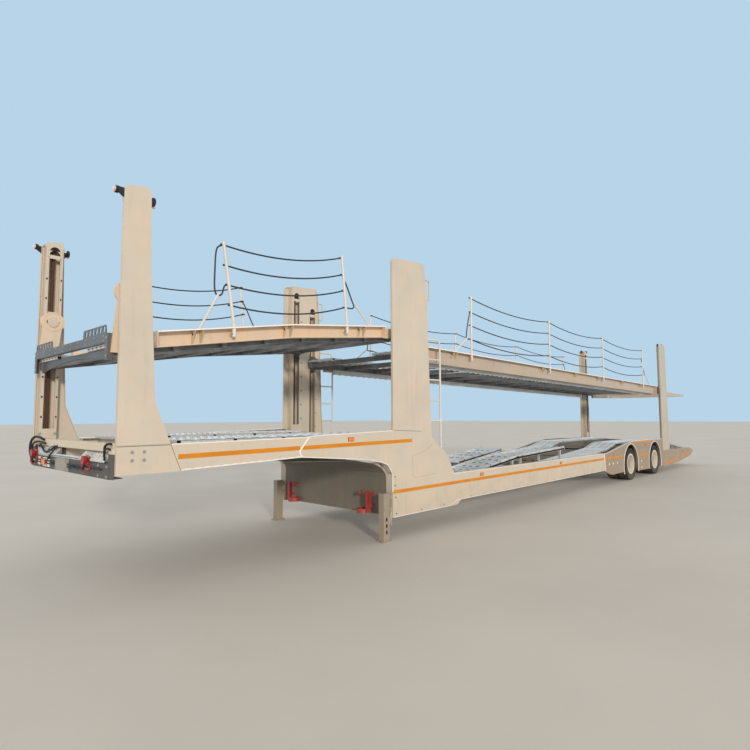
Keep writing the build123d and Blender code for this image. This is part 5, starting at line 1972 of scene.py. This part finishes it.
@dataclass
class Lamps:
    """The amber side lamps with their bases, the rubber stalk lamps and the rear lamps."""

    side_lamps: Line = ((-2.235, 0.722), (-5.267, 0.715), (-8.300, 0.715), (-10.750, 0.870),
                        (-14.480, 0.530), (0.810, 1.400))
    front_lamp: Point = (3.7123, -0.70, 1.20)
    lamp_parts: tuple[tuple[Finish, tuple[float, float], float, float, tuple[float, float],
                            float], ...] = (
        # finish, half size, foot, head, and the front lamp's half size and head
        (AMBER, (0.047, 0.021), 0.004, 0.015, (0.033, 0.053), 0.026),
        (BLACK_STEEL, (0.052, 0.025), 0.0, 0.005, (0.036, 0.058), 0.005))
    stalk_rows: tuple[tuple[float, float, Facing, float, float], ...] = (
        # station, height, way, reach, radius
        (3.7003, 3.770, Facing.FORWARD, 0.088, 0.034), (3.4463, 3.745, Facing.BACK, 0.052, 0.046))
    stalk_y: tuple[float, float] = (1.222, 1.248)
    housing: Line = ((0, 0.45), (0.90, 0.45), (1.0, 0.50), (1.0, 0.62), (0.94, 0.64),
                     (0.94, 0.68), (1.0, 0.70), (1.0, 0.80), (0.90, 0.84), (0, 0.84))
    dome: Line = ((0, 0.83), (0.88, 0.83), (0.84, 0.90), (0.66, 0.97), (0, 1.0))
    drop_lens: Line = ((0, 0), (0.020, 0), (0.017, 0.007), (0, 0.009))
    rear_lens: Line = ((0, 0), (0.034, 0), (0.032, 0.005), (0, 0.0059))
    rear_y: tuple[float, float] = (0.76, 1.14)

    @staticmethod
    def pad(shape: Shape, half: tuple[float, float], ends: tuple[float, float], at: Point,
            facing: Facing) -> None:
        """A rectangular pad with its head drawn in.

        Args:
            shape: The shape that takes it.
            half: Half its size along its own X and Y.
            ends: How far its foot and its head are from where it is set.
            at: Where it is set.
            facing: The way it stands out.
        """
        turn = Matrix.Translation(at) @ euler(facing.value)
        steps = ((ends[0], 1.0), (blend(*ends, 0.7), 1.0), (ends[1], 0.82))
        shape.loft([[turn @ Vector((half[0] * share * i, half[1] * share * j, height))
                     for i, j in ((-1, -1), (1, -1), (1, 1), (-1, 1))] for height, share in steps])

    def markers(self) -> None:
        """Make the amber lamps, each a black base and a domed lens, and the stalk lamps."""
        meshes = []
        for finish, half, foot, head, front_half, front_head in self.lamp_parts:
            sides, front = Shape(paired=True), Shape()
            for x, z in self.side_lamps:
                self.pad(sides, half, (foot, head), (x, PLATE_Y, z), Facing.LEFT)
            self.pad(front, front_half, (foot, front_head), self.front_lamp, Facing.FORWARD)
            meshes += [shape.mesh("lamp", finish=finish) for shape in (sides, front)]
        meshes += self.stalks()
        piece("side_and_stalk_lamps", meshes, AMBER, BASE, ("marker_lamps",))

    def stalks(self) -> list[bpy.types.Mesh]:
        """Make the front masts' stalk lamps: a clear one ahead and a black dome behind.

        Returns:
            The mesh of the rubber parts and that of the lenses.
        """
        rubber, lens = Shape(paired=True), Shape(paired=True)
        y0, y1 = self.stalk_y
        for x, z, facing, reach, radius in self.stalk_rows:
            ahead = facing is Facing.FORWARD
            out = x + (0.6 if ahead else -0.6) * reach
            rubber.prism([(x, z - 0.062), (out, z - 0.022), (out, z + 0.020), (x, z + 0.020)],
                         y0, y1)
            for shape, line in ((rubber, self.housing), (lens if ahead else rubber, self.dome)):
                shape.turned([(radius * r, reach * h) for r, h in line], (x, y1 - radius, z),
                             facing, 24)
            if not ahead:
                lens.turned(self.drop_lens, (x - reach * 0.75, y1 - radius, z - radius),
                            Facing.DOWN)
        return [rubber.mesh("stalk", 40, HOSE), lens.mesh("lens", 40, PALE_LENS)]

    def rear(self) -> None:
        """Make the rear lamp boxes with three round lenses each."""
        low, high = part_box("rear_lamps")
        face = low.x + 0.006
        box, lens = Shape(0.0, paired=True), Shape(0.0, paired=True)
        box.box((face, high.x), self.rear_y, (low.z, high.z))
        for share in shares(3):
            lens.turned(self.rear_lens, (face, blend(*self.rear_y, share), (low.z + high.z) / 2),
                        Facing.BACK, 24)
        meshes = [box.mesh("box", 40, BLACK_STEEL), lens.mesh("lens", 40, RED_LENS)]
        piece("rear_lamp_boxes", meshes, RED_LENS, BASE, ("rear_lamps",))

    def build(self) -> None:
        """Make every lamp."""
        self.markers()
        self.rear()


# Scene


@dataclass
class Studio:
    """The floor, the light and the camera."""

    camera_at: Point = (11.642, 6.216, 1.685)
    yaw: float = -136.759
    pitch: float = 4.411
    roll: float = -0.2436
    lens: float = 25.99
    reach: float = 160.0
    floor: Colour = tone(214, 210, 203)
    sky: Colour = tone(184, 212, 232)
    glow: Colour = tone(244, 240, 234)
    light: float = 0.70
    suns: tuple[tuple[str, float, float, Point, Colour], ...] = (
        # name, strength, width in degrees, direction, colour
        ("key", 1.75, 6.0, (-0.46, -0.85, -0.24), (1.0, 0.90, 0.78)),
        ("fill", 0.35, 50.0, (-0.20, 0.80, -0.50), (0.94, 0.96, 1.0)))

    @staticmethod
    def add(name: str, data: bpy.types.ID) -> bpy.types.Object:
        """A new object in the scene.

        Args:
            name: Its name.
            data: Its mesh, light or camera.

        Returns:
            The object.
        """
        made = bpy.data.objects.new(name, data)
        bpy.context.scene.collection.objects.link(made)
        return made

    def camera(self) -> None:
        """Set the camera where the photographer stood."""
        data = bpy.data.cameras.new("Camera")
        data.lens = self.lens
        data.sensor_width = 36.0
        data.clip_end = 500.0
        made = self.add("Camera", data)
        made.matrix_world = Matrix.Translation(self.camera_at)
        for angle, axis in ((self.yaw - 90, "Z"), (self.pitch + 90, "X"), (self.roll, "Z")):
            made.matrix_world @= Matrix.Rotation(math.radians(angle), 4, axis)
        bpy.context.scene.camera = made

    def ground(self) -> None:
        """Lay the pale floor."""
        shape = Shape(0.0)
        shape.box(about(0.0, self.reach), about(0.0, self.reach), (-0.5, 0.0))
        mesh = shape.mesh("floor")
        material = bpy.data.materials.new("Floor")
        material.use_nodes = True
        links = Links(material.node_tree)
        cloud = links.ramp(links.noise(links.place, 0.35, 6.0), 0.35, 0.65)
        shade = links.mix(cloud, self.floor, shaded(self.floor, 0.93))
        fine = links.maths("MULTIPLY", links.noise(links.place, 22.0, 4.0), 0.10)
        links.give(material.node_tree.nodes["Principled BSDF"],
                   {"Base Color": links.mix(fine, shade, shaded(self.floor, 0.8)),
                    "Roughness": 0.8})
        mesh.materials.append(material)
        self.add("floor", mesh)

    def world(self) -> None:
        """Fill the sky with one pale tone, and light the trailer evenly from it."""
        world = bpy.data.worlds.new("Sky")
        bpy.context.scene.world = world
        world.use_nodes = True
        world.node_tree.nodes.clear()
        links = Links(world.node_tree)
        rays = links.node("ShaderNodeLightPath").outputs
        seen = rays["Is Camera Ray"]
        for kind in ("Is Transmission Ray", "Is Glossy Ray"):
            seen = links.maths("MAXIMUM", seen, rays[kind])
        lit, shown = (links.node("ShaderNodeBackground", {"Color": colour, "Strength": strength})
                      for colour, strength in ((self.glow, self.light), (self.sky, 1.0)))
        both = links.node("ShaderNodeMixShader", {0: seen, 1: lit.outputs[0], 2: shown.outputs[0]})
        links.node("ShaderNodeOutputWorld", {"Surface": both.outputs[0]})

    def lamps(self) -> None:
        """Hang a soft sun ahead of the trailer and a weaker one on the camera's side."""
        for name, strength, width, toward, colour in self.suns:
            data = bpy.data.lights.new(name, "SUN")
            data.energy = strength
            data.angle = math.radians(width)
            data.color = colour
            made = self.add(name, data)
            made.rotation_mode = "QUATERNION"
            made.rotation_quaternion = Vector(toward).to_track_quat("-Z", "Y")

    def build(self) -> None:
        """Set up the studio."""
        bpy.context.scene.view_settings.view_transform = "Standard"
        self.camera()
        self.ground()
        self.world()
        self.lamps()


def dress_nodes(frame: dict[str, object]) -> None:
    """Give every carried-over node its own finish, or else that of its slot.
    """
    slots = {row["node"]: Slot(row["material_slot"]) for row in frame["record"]["subparts"]}
    for name, node in frame["nodes"].items():
        finish = NODE_FINISH.get(name, SLOT_FINISH[slots[name]])
        node.data.materials.clear()
        node.data.materials.append(finish.material())


def main() -> None:
    """Build the trailer's looks in order."""
    logging.basicConfig(level=logging.INFO, format="%(message)s")
    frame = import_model()
    Studio().build()
    dress_nodes(frame)
    Masts().build()
    LiftScrews().build()
    Stripes().build()
    GooseneckTrim().build()
    Tracks().build({
        "lower_runways": (LOWER_LINE, BASE),
        "front_deck_runways": (track_line(FRONT_EDGE, 3.70, -0.29), "front_deck"),
        "rear_deck_runways": (track_line(REAR_EDGE, -0.42, -13.05), "rear_deck"),
    })
    DeckEdge("front_deck", FRONT_EDGE, depth=0.160, uprights=(2.49, 0.815), lacing=(
        ((2.631, 3.526), (2.70, 3.46), (2.715, 3.25), (2.715, 3.04), (2.685, 2.972), (2.63, 2.99),
         (2.60, 3.08), (2.563, 3.100)),
        ((0.885, 3.530), (0.80, 3.40), (0.70, 3.21), (0.668, 3.150), (0.70, 3.112), (0.84, 3.104)),
    ), gusset_rows=(2.90, 1.75, 0.52)).build()
    DeckEdge("rear_deck", REAR_EDGE, depth=0.245, uprights=(-2.09, -5.02, -7.96, -10.96), lacing=(
        ((-2.10, 3.457), (-2.02, 3.22), (-1.98, 3.01), (-2.02, 2.985), (-2.094, 2.987)),
        ((-10.96, 3.30), (-11.10, 3.05), (-11.18, 2.87), (-11.05, 2.86), (-10.97, 2.85)),
    ), gusset_rows=(-1.62, -4.75, -6.35, -7.70, -9.30, -10.75), gusset_depth=0.11).build()
    TrackSkirt().build()
    LipTrim().build()
    Carriages().build()
    Troughs().build()
    ArchLips().build()
    TyreSet().build()
    Nose().build()
    LegTrim().build()
    Lamps().build()


if __name__ == "__main__":
    main()
